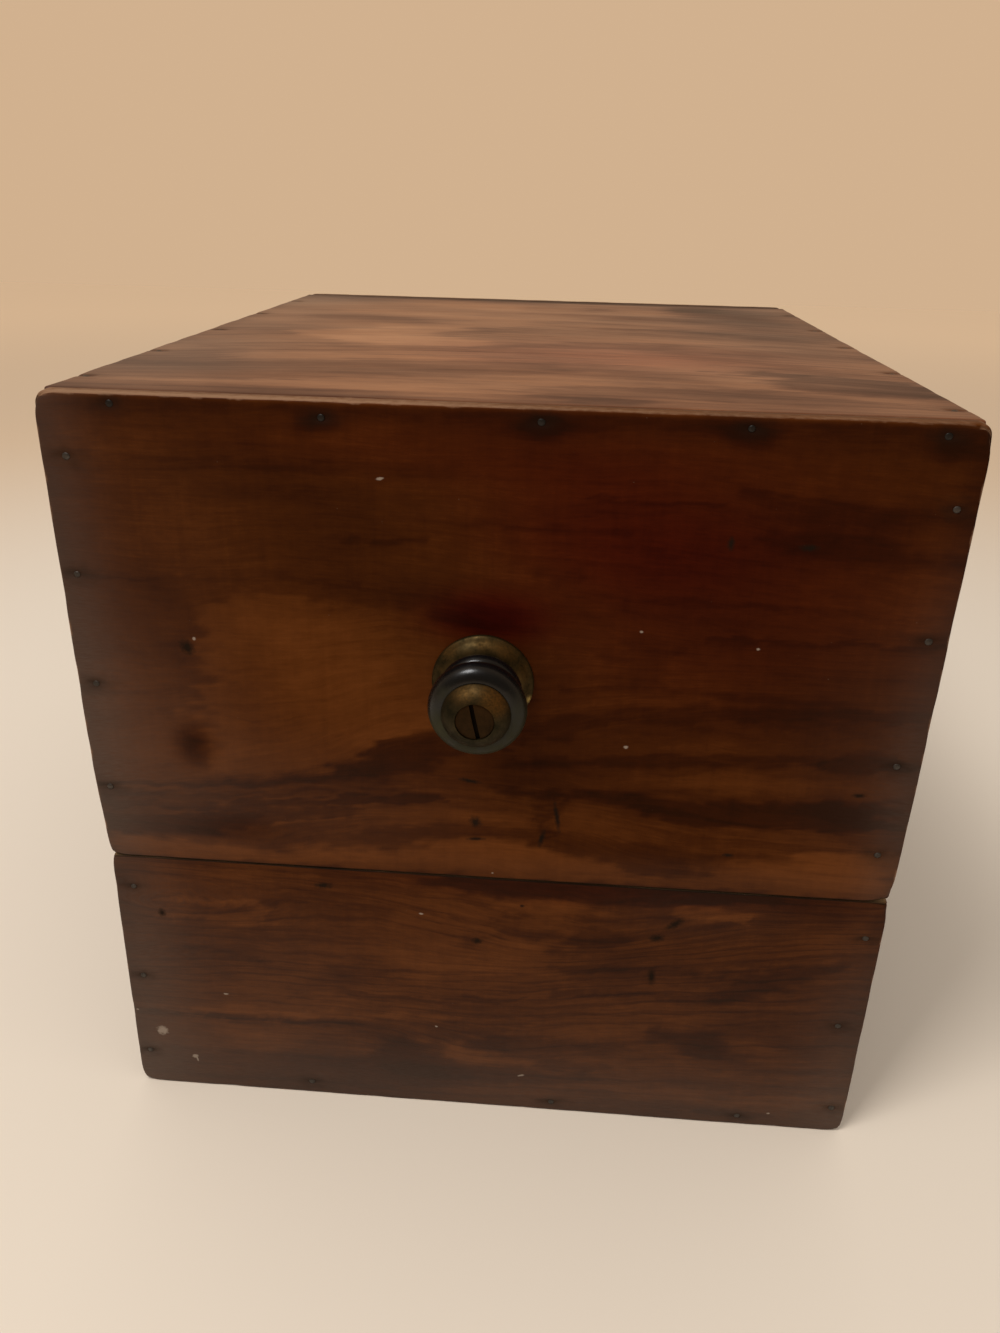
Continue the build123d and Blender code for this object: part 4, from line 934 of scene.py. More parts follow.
lidTopBoard = {
    "node": "lid_top_board", "body": "lid", "pine": "topPine", "seed": 13,
    "origin": (-box["halfWidth"], -innerDepth, box["height"]), "axes": ((1, 0, 0), (0, 1, 0), (0, 0, -1)),
    "size": (240.0, 2 * innerDepth, box["top"]), "arris": 0.7, "lowRadius": 0.7, "highRadius": 0.7,
    "spacing": 2, "covered": (box["side"], 0), "nails": nailHeads("lid_top_nails", 2, 236),
    "stain": (4.5, 3.4, 0.45), "ringy": 0.1,
    "guides": [
        (0, topLine(7, 0)), (14, topLine(18, 4)), (34, topLine(48, 16, -3)), (62, topLine(78, 24, 2)),
        (96, topLine(104, 22, 4)), (118, topLine(136, 26, -6)), (150, topLine(172, 24, -10)),
        (196, topLine(215, 18, -8)), (246, topLine(258, 8, -3)), (284, topLine(291, 0)),
    ],
    # the dark strips along the back edge (y 137 and 138) are painted shade on the rear arris
    "patches": [
        (100, 60, 20, 90, 0, -0.14), (0, 138, 130, 5, 0, -0.3), (36, 138, 40, 6, 0, -0.16),
        (-108, 30, 10, 34, 0, 0.06), (20, -50, 60, 20, 0, 0.02), (-20, 80, 60, 30, 0, 0.06),
        (106, 10, 14, 20, 0, -0.1), (-100, 120, 34, 22, 0, -0.14), (84, 80, 26, 60, 0, -0.2),
        (70, 120, 50, 18, 0, -0.14), (0, 137, 130, 6, 0, -0.14), (-104, -84, 24, 22, 0, -0.08),
        (60, -136, 60, 5, 0, -0.1), (-80, -136, 50, 5, 0, -0.06), (60, -90, 24, 10, 0, -0.12),
        (-100, -110, 22, 10, 0, -0.12), (-100, 88, 20, 18, 0, 0.18), (-40, -88, 24, 7, 10, 0.05),
        (0, -136, 34, 4, 0, 0.14), (106, 122, 14, 14, 0, 0.1), (-50, -8, 24, 14, 0, 0.06),
        (-70, 30, 20, 14, 0, 0.05), (-60, -120, 30, 4, 0, -0.05),
    ],
    "clouds": [
        (-0.14, 4, [-122, -128, -80, -127, -60, -131, 0, -131.5, 10, -129, 40, -132, 40, -145, -122, -145]),
        (0.03, 3, [-80, -122, -60, -118, -30, -118, -16, -111, -18, -106, -5, -100, 20, -98, 40, -100,
         70, -97, 62, -84, 78, -84, 74, -100, 68, -107, 40, -110, 14, -114, 9, -124, 0, -131, -58, -130]),
        (-0.14, 4, [9, -118, 20, -112, 40, -111, 70, -109, 82, -115, 100, -123, 112, -130, 80, -132,
         40, -128, 34, -137, 12, -139, 8, -128]),
        (-0.1, 5, [-122, -94, -100, -92, -80, -88, -60, -80, -40, -74, -10, -72, 12, -74, 15, -82, 22, -87,
         10, -94, 0, -99, -20, -104, -40, -110, -60, -116, -80, -124, -122, -127]),
        (-0.32, 5, [76, -72, 100, -83, 122, -88, 122, -116, 92, -112, 78, -107, 74, -98, 79, -86, 60, -79]),
        (0.11, 3, [-88, -84, -60, -77, -40, -71, 0, -68.5, 40, -70, 60, -74, 40, -66, 0, -64, -40, -64,
         -60, -62, -86, -68]), (-0.06, 3, [-64, -62, -20, -60, 0, -64, -20, -66, -60, -65]),
        (-0.08, 4, [-66, -44, -30, -43, -20, -46, -40, -50, -62, -50]),
        (-0.12, 4, [-20, -42, -8, -32, 0, -24, 20, -16, 50, -12, 92, -9, 99, -14, 60, -20, 52, -28, 45, -33,
         0, -36]),
        (0.23, 5, [-90, -8, -62, 3, -60, 14, -50, 20, -30, 20, -24, 10, -36, 0, -40, -10, -10, -25, -20, -36,
         -50, -40, -58, -34, -80, -20]),
        (-0.09, 6, [-92, 0, -64, 6, -66, 14, -64, 30, -30, 44, -50, 50, -80, 56, -96, 50, -93, 20]),
        (0.1, 6, [-60, 22, -20, 17, 0, 30, 0, 50, -10, 62, -52, 62, -22, 40]),
        (-0.09, 4, [-18, 2, 10, 20, -18, 26, -24, 18]),
        (-0.07, 6, [-2, 40, 30, 44, 60, 52, 86, 70, 86, 90, 60, 87, 40, 80, 30, 68, 10, 52]),
        (-0.13, 3, [20, 31, 60, 34, 86, 22, 76, 17, 60, 23, 40, 28]),
        (0.1, 7, [0, 84, 0, 112, 60, 110, 66, 92, 30, 80]),
        (0.1, 8, [-84, 60, -84, 112, -10, 116, -6, 84, -40, 62]),
        (-0.22, 5, [58, 106, 66, 131, 84, 131, 84, 106]), (-0.13, 4, [18, 99, 20, 116, 38, 116, 36, 99]),
        (-0.09, 4, [-120, -86, -104, -60, -90, -60, -92, -84]),
        (0.1, 3, [70, -62, 100, -66, 118, -74, 100, -62, 70, -58]),
        (-0.07, 3, [66, -34, 92, -38, 84, -44, 70, -42]),
    ],
    "redsAndReflections": [(30, -50, 60, 34, 0, 0.34)],
    # dust and painted pale sheen on the top
    "dusts": [
        (100, 40, 40, 110, 0, 0.14), (-118, -90, 40, 54, 0, 0.4), (-116, 120, 44, 44, 0, 0.36),
        (-116, 20, 30, 76, 0, 0.26), (106, 122, 20, 20, 0, 0.16), (-20, 30, 90, 90, 0, 0.05),
    ],
    "edgeShade": 0.4,
}
bottomBoard = {
    "node": "base_bottom_board", "body": "base", "pine": "casePine", "seed": 14,
    "origin": (-box["halfWidth"], -innerDepth, 0), "axes": ((1, 0, 0), (0, 1, 0), (0, 0, 1)),
    "size": (240.0, 2 * innerDepth, box["bottom"]), "arris": 0.7, "lowRadius": 0.7, "highRadius": 0.7,
    "spacing": 3, "covered": (box["side"], 0), "nails": nailHeads("base_bottom_nails", 2, 0),
    "stain": (4.5, 3, 0.45), "guides": plainGuides(41, -142, 142, 120, 24),
    "patches": [(0, 0, 110, 120, 0, 0.12)], "dusts": [(0, 0, 150, 170, 0, 0.35)],
}
boards = {
    "lidFrontBoard": lidFrontBoard, "baseFrontBoard": baseFrontBoard,
    "lidTopBoard": lidTopBoard, "baseBottomBoard": bottomBoard,
}
hiddenHalves = {  # the sides and back of each half: their ends, seeds, and the back's corner radii
    "lid": {"side": (lidSill, box["height"] - box["top"]), "back": (lidSill, box["height"]), "sawn": "low",
            "sideSeed": 20, "backSeed": 24, "lowRadius": 1.5, "highRadius": 3.0, "flat": box["top"]},
    "base": {"side": (box["bottom"], baseRim), "back": (0.0, baseRim), "sawn": "high",
             "sideSeed": 30, "backSeed": 34, "lowRadius": 2.5, "highRadius": 1.5, "flat": box["bottom"]},
}
for way, wayName in ((-1, "Left"), (1, "Right")):
    for part, half in hiddenHalves.items():
        (low, high), seed = half["side"], half["sideSeed"] + way
        middle, tall = (low + high) / 2, high - low
        boards[f"{part}{wayName}Side"] = {
            "node": f"{part}_{wayName.lower()}_side", "body": part, "pine": "casePine", "seed": seed,
            "origin": (way * box["halfWidth"], -innerDepth, low),
            "axes": ((0, 1, 0), (0, 0, 1), (-way, 0, 0)),
            "size": (2 * innerDepth, tall, box["side"]), "arris": 0.3, "lowRadius": 0.3, "highRadius": 0.3,
            "spacing": 2.6, "sawn": half["sawn"], "covered": (0, 0), "nails": [], "stain": (4, 2.2, 0.5),
            "guides": plainGuides(seed, low, high, 142.0, tall * 0.12),
            "loops": [(way * 40 + 10, middle, 70, tall * 0.16, tall * 0.16)],
            "patches": [(way * 30, middle + 8, 60, 14, 4, 0.16), (-way * 70, low + 22, 44, 8, -6, -0.18)],
            "dusts": [(0, 0, 190, 9, 0, 0.35)],
        }
for part, half in hiddenHalves.items():
    (low, high), seed = half["back"], half["backSeed"]
    middle, tall = (low + high) / 2, high - low
    boards[f"{part}BackBoard"] = {
        "node": f"{part}_back_board", "body": part, "pine": "casePine", "seed": seed,
        "origin": (-box["halfWidth"], box["halfDepth"], low), "axes": ((1, 0, 0), (0, 0, 1), (0, -1, 0)),
        "size": (240.0, tall, box["front"]), "arris": 0.6, "lowRadius": half["lowRadius"],
        "highRadius": half["highRadius"], "spacing": 2.5, "sawn": half["sawn"],
        "covered": (box["side"], half["flat"]),
        "nails": nailHeads(f"{part}_back_nails", 1, 149), "stain": (4.8, 2.4, 0.55),
        "guides": plainGuides(seed, low, high, 120.0, tall * 0.13),
        "loops": [(30, middle - 6, 60, tall * 0.14, tall * 0.15)],
        "patches": [(-40, low + 30, 50, 12, 6, 0.16), (60, high - 24, 44, 9, -4, -0.18)],
        "dusts": [(0, 0, 150, 9, 0, 0.35)],
    }
for boardName, spec in boards.items():
    makeBoard(boardName, spec)
print("stage: boards")

# metal and the black knob
metalLook = {
    "warmAndLit": (0.165, 0.082, 0.021), "paintedGlint": (0.52, 0.38, 0.13), "shadeAndDirt": (0.004, 0.003, 0.002),
    "grainScale": 7.0, "relief": 0.00003, "metallic": 1.0, "toolMarks": (60.0, 2600.0, 60.0),
    "spotSpan": (0.62, 0.78, 0.0, 0.6), "warmSpan": (0.30, 0.62, 1.0, 0.45), "sunkShare": 0.9,
}
metalLooks = {
    # clean and tarnished colours, and how far the tarnish has spread
    "rosetteBrass": {
        "clean": (0.080, 0.052, 0.020), "dull": (0.023, 0.018, 0.0080), "spots": (0.012, 0.010, 0.005),
        "patchy": 2.8, "patchScale": 210.0, "tarnish": 0.55, "roughness": 0.56, "relief": 0.00004},
    "knobBrass": {
        "clean": (0.048, 0.036, 0.017), "dull": (0.019, 0.0165, 0.0082), "spots": (0.012, 0.010, 0.006),
        "patchy": 2.4, "patchScale": 230.0, "tarnish": 0.62, "roughness": 0.56, "relief": 0.00004},
    "boltBrass": {
        "clean": (0.040, 0.021, 0.0085), "dull": (0.023, 0.0135, 0.0060), "spots": (0.012, 0.007, 0.003),
        "patchy": 1.8, "patchScale": 240.0, "toolMarks": (900.0, 60.0, 120.0), "tarnish": 0.55,
        "roughness": 0.50},
    "hingeBrass": {
        "clean": (0.28, 0.18, 0.070), "dull": (0.10, 0.066, 0.030), "spots": (0.040, 0.030, 0.017),
        "patchy": 1.8, "patchScale": 120.0, "toolMarks": (2200.0, 60.0, 60.0), "tarnish": 0.45,
        "roughness": 0.38,
        "metallic": 0.9},
    "nailIron": {
        "clean": (0.096, 0.082, 0.070), "dull": (0.036, 0.029, 0.023), "spots": (0.030, 0.016, 0.010),
        "patchy": 1.6, "patchScale": 700.0, "toolMarks": (300.0, 300.0, 300.0), "tarnish": 0.58,
        "roughness": 0.46,
        "metallic": 0.70, "relief": 0.00005},
}


def makeMetal(name, look):
    look = {**metalLook, **look}
    made = newMaterial(name)
    place = objectPlace()
    cloudy = noise(place, look["patchScale"], 3.0, 0.6)
    grain = noise(place, look["patchScale"] * look["grainScale"], 3.0, 0.6)
    turned = noise(place, look["toolMarks"])
    spread = times(plus(swing(cloudy, look["patchy"]), swing(grain, 0.5), look["tarnish"]), 1.0, clamp=True)
    colour = mix(spread, look["clean"], look["dull"])
    colour = mix(span(grain, *look["spotSpan"]), colour, look["spots"])
    # warm rubbed spots together with a painted lit top, a painted glint, and dirt together with painted shade
    # in the bolt's slot
    warmAndLit = times(attribute("warmAndLit"), span(grain, *look["warmSpan"]), clamp=True)
    colour = mix(warmAndLit, colour, look["warmAndLit"])
    colour = mix(attribute("paintedGlint"), colour, look["paintedGlint"])
    colour = mix(times(attribute("shadeAndDirt"), look["sunkShare"]), colour, look["shadeAndDirt"])
    gloss = plus(swing(spread, 0.22), swing(turned, 0.12), look["roughness"])
    height = plus(swing(turned, 0.6), swing(grain, 0.5))
    inputs = {"Base Color": colour, "Roughness": gloss, "Metallic": look["metallic"]}
    closeMaterial(inputs, height, look["relief"], 0.6)
    return made


polish = {
    "black": (0.0020, 0.0021, 0.0022), "worn": (0.0085, 0.0072, 0.0050), "patinaAndReflection": (0.029, 0.0265, 0.0120),
    "roughness": 0.24, "ior": 1.34, "shine": 0.5, "coat": 0.30, "coatRoughness": 0.42, "coatIor": 1.33,
    "relief": 0.00006, "rubs": (260.0, 4.0, 0.6), "fine": 1500.0, "patinaGloss": 0.34,
    "wornSpan": (0.56, 0.72, 0.0, 0.75), "patinaSpan": (0.35, 0.65, 0.6, 1.1),
    "shineSpan": (0.0, 0.8, 1.0, 0.30),
}


def makeBlackPolish():
    made = newMaterial("blackPolish")
    place = objectPlace()
    rubs, fine = noise(place, *polish["rubs"]), noise(place, polish["fine"])
    colour = mix(span(rubs, *polish["wornSpan"]), polish["black"], polish["worn"])
    # olive patina together with a painted reflection of the pale floor on the ring's lower half
    patinaAndReflection = times(attribute("patinaAndReflection"), span(rubs, *polish["patinaSpan"]), clamp=True)
    colour = mix(patinaAndReflection, colour, polish["patinaAndReflection"])
    dulled = times(patinaAndReflection, polish["patinaGloss"])
    gloss = plus(swing(rubs, 0.22), swing(fine, 0.10), dulled, polish["roughness"])
    shine = span(patinaAndReflection, *polish["shineSpan"])
    closeMaterial({
        "Base Color": colour, "Roughness": gloss, "IOR": polish["ior"],
        "Specular IOR Level": times(shine, polish["shine"]), "Coat Weight": times(shine, polish["coat"]),
        "Coat Roughness": polish["coatRoughness"], "Coat IOR": polish["coatIor"],
    }, plus(swing(rubs, 0.7), swing(fine, 0.2)), polish["relief"], 0.5)
    return made


metals = {name: makeMetal(name, look) for name, look in metalLooks.items()}
blackPolish = makeBlackPolish()
print("stage: metals and black polish")


def arcPoints(start, middle, end, count=14):
    # points on the circle through three points
    (ax, ay), (bx, by), (cx, cy) = start, middle, end
    a, b, c = (x * x + y * y for x, y in (start, middle, end))
    d = 2 * (ax * (by - cy) + bx * (cy - ay) + cx * (ay - by))
    ox = (a * (by - cy) + b * (cy - ay) + c * (ay - by)) / d
    oy = (a * (cx - bx) + b * (ax - cx) + c * (bx - ax)) / d
    radius = math.hypot(ax - ox, ay - oy)
    first, mid, last = (math.atan2(y - oy, x - ox) for x, y in (start, middle, end))
    turn = (last - first) % (2 * math.pi)
    if (mid - first) % (2 * math.pi) > turn:
        turn -= 2 * math.pi
    angles = [first + turn * i / count for i in range(count + 1)]
    return [(ox + radius * math.cos(angle), oy + radius * math.sin(angle)) for angle in angles]


def softened(points, cut=0.14):
    # rounds each sharp corner of a closed profile
    made = []
    for i, point in enumerate(points):
        here = Vector(point)
        one, two = Vector(points[i - 1]) - here, Vector(points[(i + 1) % len(points)]) - here
        if one.length < 1e-6 or two.length < 1e-6 or one.angle(two) > math.radians(150):
            made.append(point)
            continue
        reach = min(cut, one.length * 0.4, two.length * 0.4)
        start, end = here + one.normalized() * reach, here + two.normalized() * reach
        made += [tuple(start), tuple((start + end) * 0.25 + here * 0.5), tuple(end)]
    return made


def tidyMesh(mesh, sharp=None):
    work = bmesh.new()
    work.from_mesh(mesh)
    bmesh.ops.remove_doubles(work, verts=work.verts, dist=1e-7)
    bmesh.ops.recalc_face_normals(work, faces=work.faces)
    work.to_mesh(mesh)
    work.free()
    smooth(mesh, sharp)


def latheMesh(name, profile, segments, closed=True, wobble=0.0):
    # profile: (radius, height) in millimetres, turned about local Z
    points, rows = [], []
    for radius, height in profile:
        if radius < 1e-6:  # one point for the whole ring
            rows.append([len(points)] * segments)
            points.append((0.0, 0.0, height))
            continue
        rows.append(list(range(len(points), len(points) + segments)))
        for k in range(segments):
            angle = 2 * math.pi * k / segments
            sway = wobble * math.sin(2 * angle + height * 0.3) + wobble * 0.5 * math.sin(5 * angle + height)
            swell = radius * (1 + sway)
            points.append((swell * math.cos(angle), swell * math.sin(angle), height))
    faces = []
    for low, high in list(zip(rows, rows[1:])) + ([(rows[-1], rows[0])] if closed else []):
        for k in range(segments):
            n = (k + 1) % segments
            corners = list(dict.fromkeys((low[k], low[n], high[n], high[k])))
            if len(corners) > 2:
                faces.append(corners)
    mesh = bpy.data.meshes.new(name)
    mesh.from_pydata([Vector(p) * mm for p in points], [], faces)
    tidyMesh(mesh)
    return mesh


def slottedMesh(name, profile, segments, slotWidth, slotDepth, top, easing):
    # a turned head: profile turned, slot cut, edges eased
    holder = addObject(name, latheMesh(name, profile, segments, closed=False))
    reach = max(radius for radius, height in profile) * 1.3
    cutterMesh = bpy.data.meshes.new("slotCutter")
    work = bmesh.new()
    bmesh.ops.create_cube(work, size=1.0)
    bmesh.ops.scale(work, vec=Vector((slotWidth, 2 * reach, 2 * slotDepth)) * mm, verts=work.verts)
    bmesh.ops.translate(work, vec=(0, 0, top * mm), verts=work.verts)
    work.to_mesh(cutterMesh)
    work.free()
    cutter = addObject("slotCutter", cutterMesh)
    slotting = holder.modifiers.new("slot", "BOOLEAN")
    slotting.object, slotting.operation, slotting.solver = cutter, "DIFFERENCE", "EXACT"
    bevel = holder.modifiers.new("easing", "BEVEL")
    bevel.width, bevel.segments = easing * mm, 2
    bevel.limit_method, bevel.angle_limit = "ANGLE", math.radians(40)
    made = evaluatedMesh(holder)
    bpy.data.objects.remove(cutter)
    tidyMesh(made, 35)
    return made


knob = {
    "hole": 2.6, "segments": 112, "wobble": 0.0012,
    "rosetteRadius": 14.2, "rosetteDome": 12.9, "rosetteFlange": 1.3, "rosetteRise": 4.0, "rosetteSeat": 9.2,
    "neck": 7.7, "bead": 11.5, "beadHeight": 6.8, "beadCrest": 0.60, "groove": 8.6, "grooveWidth": 0.6,
    "ring": 13.2, "ringShoulder": 10.0, "ringHeight": 9.2, "ringCrest": 0.6,
    "cap": 9.2, "capEdge": 0.4, "capRise": 3.7, "capBulge": 0.35, "pocketRoom": 0.12,
    "boltRadius": 2.4, "boltHead": 5.0, "boltHeight": 1.5, "boltCrown": 0.3, "boltTail": -12.8,
    "boltSegments": 72,
    "slotWidth": 1.1, "slotDepth": 0.9, "slotAngle": 12.0, "slotEasing": 0.10,
    # rubbed and stained spots, with painted light, a painted glint and painted reflection, seen from the
    # front: x, up, half length, half height, angle, amount
    "rubs": {
        "knobRosette": {
            "warmAndLit": [(-9, 9.5, 2.6, 1.6, 40, 0.5), (1, 12, 3.0, 1.4, 0, 0.45),
                     (6, 10.6, 3.4, 1.8, -30, 0.6), (11.5, 5, 1.6, 3.0, 0, 0.3)],
            # a painted glint on the rosette's lower right rim
            "paintedGlint": [(13.3, -4.2, 0.8, 1.0, -18, 0.7)]},
        # the ring's lower half: olive patina and painted reflection of the pale floor
        "knobBody": {
            "patinaAndReflection": [(0, -10.5, 13, 8.5, 0, 0.85), (-9.8, -4.0, 3.0, 4.6, 0, 1.0),
                       (-8.4, 5.6, 2.4, 1.6, 40, 0.5), (12, -2.5, 4, 8, 0, 0.6)]},
        # the cap's upper part is painted light, as if lit from above
        "knobCap": {"warmAndLit": [(-3.0, 7.0, 3.6, 2.0, 20, 0.55), (4.6, 5.6, 4.2, 2.8, -45, 1.0)]},
    },
    "rubbedFrom": {"knobRosette": 0.4, "knobBody": 13.0, "knobCap": 0.0},
}


def makeKnob():
    k = knob
    low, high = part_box("knob_rosette")
    centre = Vector(((low.x + high.x) / 2, -box["halfDepth"] * mm, (low.z + high.z) / 2))
    turn = Matrix(((1, 0, 0), (0, 0, -1), (0, 1, 0))).to_4x4()  # the knob's own Z points out of the front
    place = Matrix.Translation(centre) @ turn
    foot, hole, capRadius = k["rosetteRise"], k["hole"], k["cap"]
    beadTop = foot + k["beadHeight"]
    ringFoot = beadTop + k["grooveWidth"]
    ringTop = ringFoot + k["ringHeight"]
    capFoot = ringTop + k["capEdge"]
    capTop = capFoot + k["capRise"]
    pocket = k["boltHead"] + k["pocketRoom"]
    seat = capTop - k["boltHeight"]
    radius, flange = k["rosetteRadius"], k["rosetteFlange"]
    rosette = [(hole, 0.0), (radius, 0.0), (radius, flange * 0.55), (radius - 0.15, flange * 0.85),
               (radius - 0.5, flange * 1.08), (k["rosetteDome"] + 0.35, flange * 1.30)]
    bulge = (k["rosetteDome"] + k["rosetteSeat"]) / 2 + 0.6
    rosette += arcPoints((k["rosetteDome"] - 0.15, flange * 1.55), (bulge, foot * 0.75),
                         (k["rosetteSeat"], foot), 16)
    rosette += [(hole, foot)]
    body = [(hole, foot), (k["neck"], foot)]
    crest = foot + k["beadHeight"] * k["beadCrest"]
    body += arcPoints((k["neck"], foot + k["beadHeight"] * 0.15), (k["bead"], crest),
                      (k["groove"], beadTop), 22)
    body += [(k["groove"], ringFoot)]
    body += arcPoints((k["ringShoulder"], ringFoot + k["ringHeight"] * 0.13),
                      (k["ring"], ringFoot + k["ringHeight"] * k["ringCrest"]), (capRadius, ringTop), 30)
    body += [(hole, ringTop)]
    cap = [(hole, ringTop), (capRadius, ringTop), (capRadius, capFoot)]
    cap += arcPoints((capRadius - 0.02, capFoot),
                     ((capRadius + pocket) / 2 + k["capBulge"], capFoot + k["capRise"] / 2 + k["capBulge"]),
                     (pocket, capTop), 14)[1:]
    cap += [(pocket, seat), (hole, seat)]
    for name, nodeName, profile, slotName, material in (
        ("knobRosette", "knob_rosette", rosette, "worn_brass", metals["rosetteBrass"]),
        ("knobBody", "knob_body", body, "black_polish", blackPolish),
        ("knobCap", "knob_cap", cap, "worn_brass", metals["knobBrass"]),
    ):
        mesh = latheMesh(name, softened(profile), k["segments"], True, k["wobble"])
        x, y, z = np.array([v.co for v in mesh.vertices]).T / mm
        for key, patches in k["rubs"][name].items():
            storeAttribute(mesh, key, np.clip(patchesOf(x, y, patches), 0, 1) * (z > k["rubbedFrom"][name]))
        mesh.transform(place)
        showPiece(name, mesh, "lid", slotName, material, nodeName)
    head, crown = k["boltHead"], k["boltCrown"]
    bolt = [(0.0, k["boltTail"]), (k["boltRadius"], k["boltTail"]), (k["boltRadius"], seat), (head, seat)]
    bolt += arcPoints((head, capTop - crown), (head / 2, capTop - crown / 4), (0.0, capTop), 8)
    slot = (k["slotWidth"], k["slotDepth"], capTop, k["slotEasing"])
    mesh = slottedMesh("knobBolt", bolt, k["boltSegments"], *slot)
    depth = np.array([v.co.z for v in mesh.vertices]) / mm
    # the slot's floor is marked for painted shade
    storeAttribute(mesh, "shadeAndDirt", (depth < capTop - k["slotDepth"] * 0.6).astype(float))
    mesh.transform(place @ Matrix.Rotation(math.radians(k["slotAngle"]), 4, "Z"))
    showPiece("knobBolt", mesh, "lid", "worn_brass", metals["boltBrass"], "knob_bolt")


makeKnob()
print("stage: knob")

# nails and screws: a geometry tree sets one at each point. Sizes of the nail are in metres.
nail = {
    "Seed": 7, "Lean": 0.10, "Smallest": 0.86, "Largest": 1.08, "Roughen": 0.00012,
    "Head Radius": 0.00100, "Head Crown": 0.40, "Sunk": 0.00046, "Shank Length": 0.0285,
}
screw = {"Seed": 3, "Lean": 0.0, "Smallest": 1.0, "Largest": 1.0, "Roughen": 0.0}
screwShape = {
    "head": 2.2, "shank": 1.2, "length": 7.2, "cone": 1.2, "segments": 36, "slotWidth": 0.6, "slotDepth": 0.5,
    "easing": 0.05,
}


def nailShape(given):
    sphere = node("GeometryNodeMeshUVSphere", {"Segments": 18, "Rings": 10, "Radius": given["Head Radius"]})
    flat = node("ShaderNodeCombineXYZ", {0: 1.0, 1: 1.0, 2: given["Head Crown"]})
    head = node("GeometryNodeTransform", {"Geometry": sphere, "Scale": flat})
    shank = node("GeometryNodeMeshCone", {
        "Vertices": 8, "Side Segments": 1, "Radius Top": times(given["Head Radius"], 0.55),
        "Radius Bottom": times(given["Head Radius"], 0.45), "Depth": given["Shank Length"]})
    down = node("ShaderNodeCombineXYZ", {2: times(given["Shank Length"], -1.0)})
    shank = node("GeometryNodeTransform", {"Geometry": shank, "Translation": down})
    whole = node("GeometryNodeJoinGeometry", {0: head})
    wiring["tree"].links.new(shank.outputs[0], whole.inputs[0])
    shadeAndDirt = node("ShaderNodeCombineXYZ", {2: times(given["Sunk"], -1.0)})
    return node("GeometryNodeTransform", {"Geometry": whole, "Translation": shadeAndDirt})


def makeDrivenTree(name, sizes, shape, material):
    tree = startTree(bpy.data.node_groups.new(name, "GeometryNodeTree"))
    tree.interface.new_socket("Geometry", in_out="INPUT", socket_type="NodeSocketGeometry")
    for key, value in sizes.items():
        kind = "NodeSocketInt" if key == "Seed" else "NodeSocketFloat"
        tree.interface.new_socket(key, in_out="INPUT", socket_type=kind).default_value = value
    tree.interface.new_socket("Geometry", in_out="OUTPUT", socket_type="NodeSocketGeometry")
    given = node("NodeGroupInput").outputs

    def chance(low, high, seedShift):
        seed = plus(given["Seed"], seedShift)
        return node("FunctionNodeRandomValue", {2: low, 3: high, "Seed": seed}, data_type="FLOAT").outputs[1]

    outward = node("GeometryNodeInputNamedAttribute", {"Name": "outward"}, data_type="FLOAT_VECTOR")
    facing = node("FunctionNodeAlignRotationToVector", {"Vector": outward}, axis="Z")
    lean = chance(times(given["Lean"], -1.0), given["Lean"], 3.0)
    angles = node("ShaderNodeCombineXYZ", {0: lean, 2: chance(0.0, 6.283, 0.0)})
    turn = node("FunctionNodeEulerToRotation", {0: angles})
    turned = node("FunctionNodeRotateRotation", {0: facing, 1: turn}, rotation_space="LOCAL")
    placed = node("GeometryNodeInstanceOnPoints", {
        "Points": given["Geometry"], "Instance": shape(given), "Rotation": turned,
        "Scale": chance(given["Smallest"], given["Largest"], 9.0)})
    everywhere = node("GeometryNodeInputPosition")
    lumps = node("ShaderNodeTexNoise", {"Vector": everywhere, "Scale": 900.0}).outputs["Color"]
    centred = node("ShaderNodeVectorMath", {0: lumps, 1: (0.5, 0.5, 0.5)}, operation="SUBTRACT")
    offset = node("ShaderNodeVectorMath", {0: centred, "Scale": given["Roughen"]}, operation="SCALE")
    real = node("GeometryNodeRealizeInstances", {0: placed})
    rough = node("GeometryNodeSetPosition", {"Geometry": real, "Offset": offset})
    node("NodeGroupOutput", {0: node("GeometryNodeSetMaterial", {"Geometry": rough, "Material": material})})
    return tree


def runTree(name, tree, places, rows, values):
    # places in metres, and rows of attributes with an entry for each place
    mesh = bpy.data.meshes.new(name + "Points")
    mesh.from_pydata(places, [], [])
    for key, row in rows.items():
        storeAttribute(mesh, key, np.array(row, float))
    holder = addObject(name + "Points", mesh)
    modifier = holder.modifiers.new(name, "NODES")
    modifier.node_group = tree
    for item in tree.interface.items_tree:
        if item.item_type == "SOCKET" and item.in_out == "INPUT" and item.name in values:
            modifier[item.identifier] = values[item.name]
    made = evaluatedMesh(holder)
    smooth(made, 50)
    return made


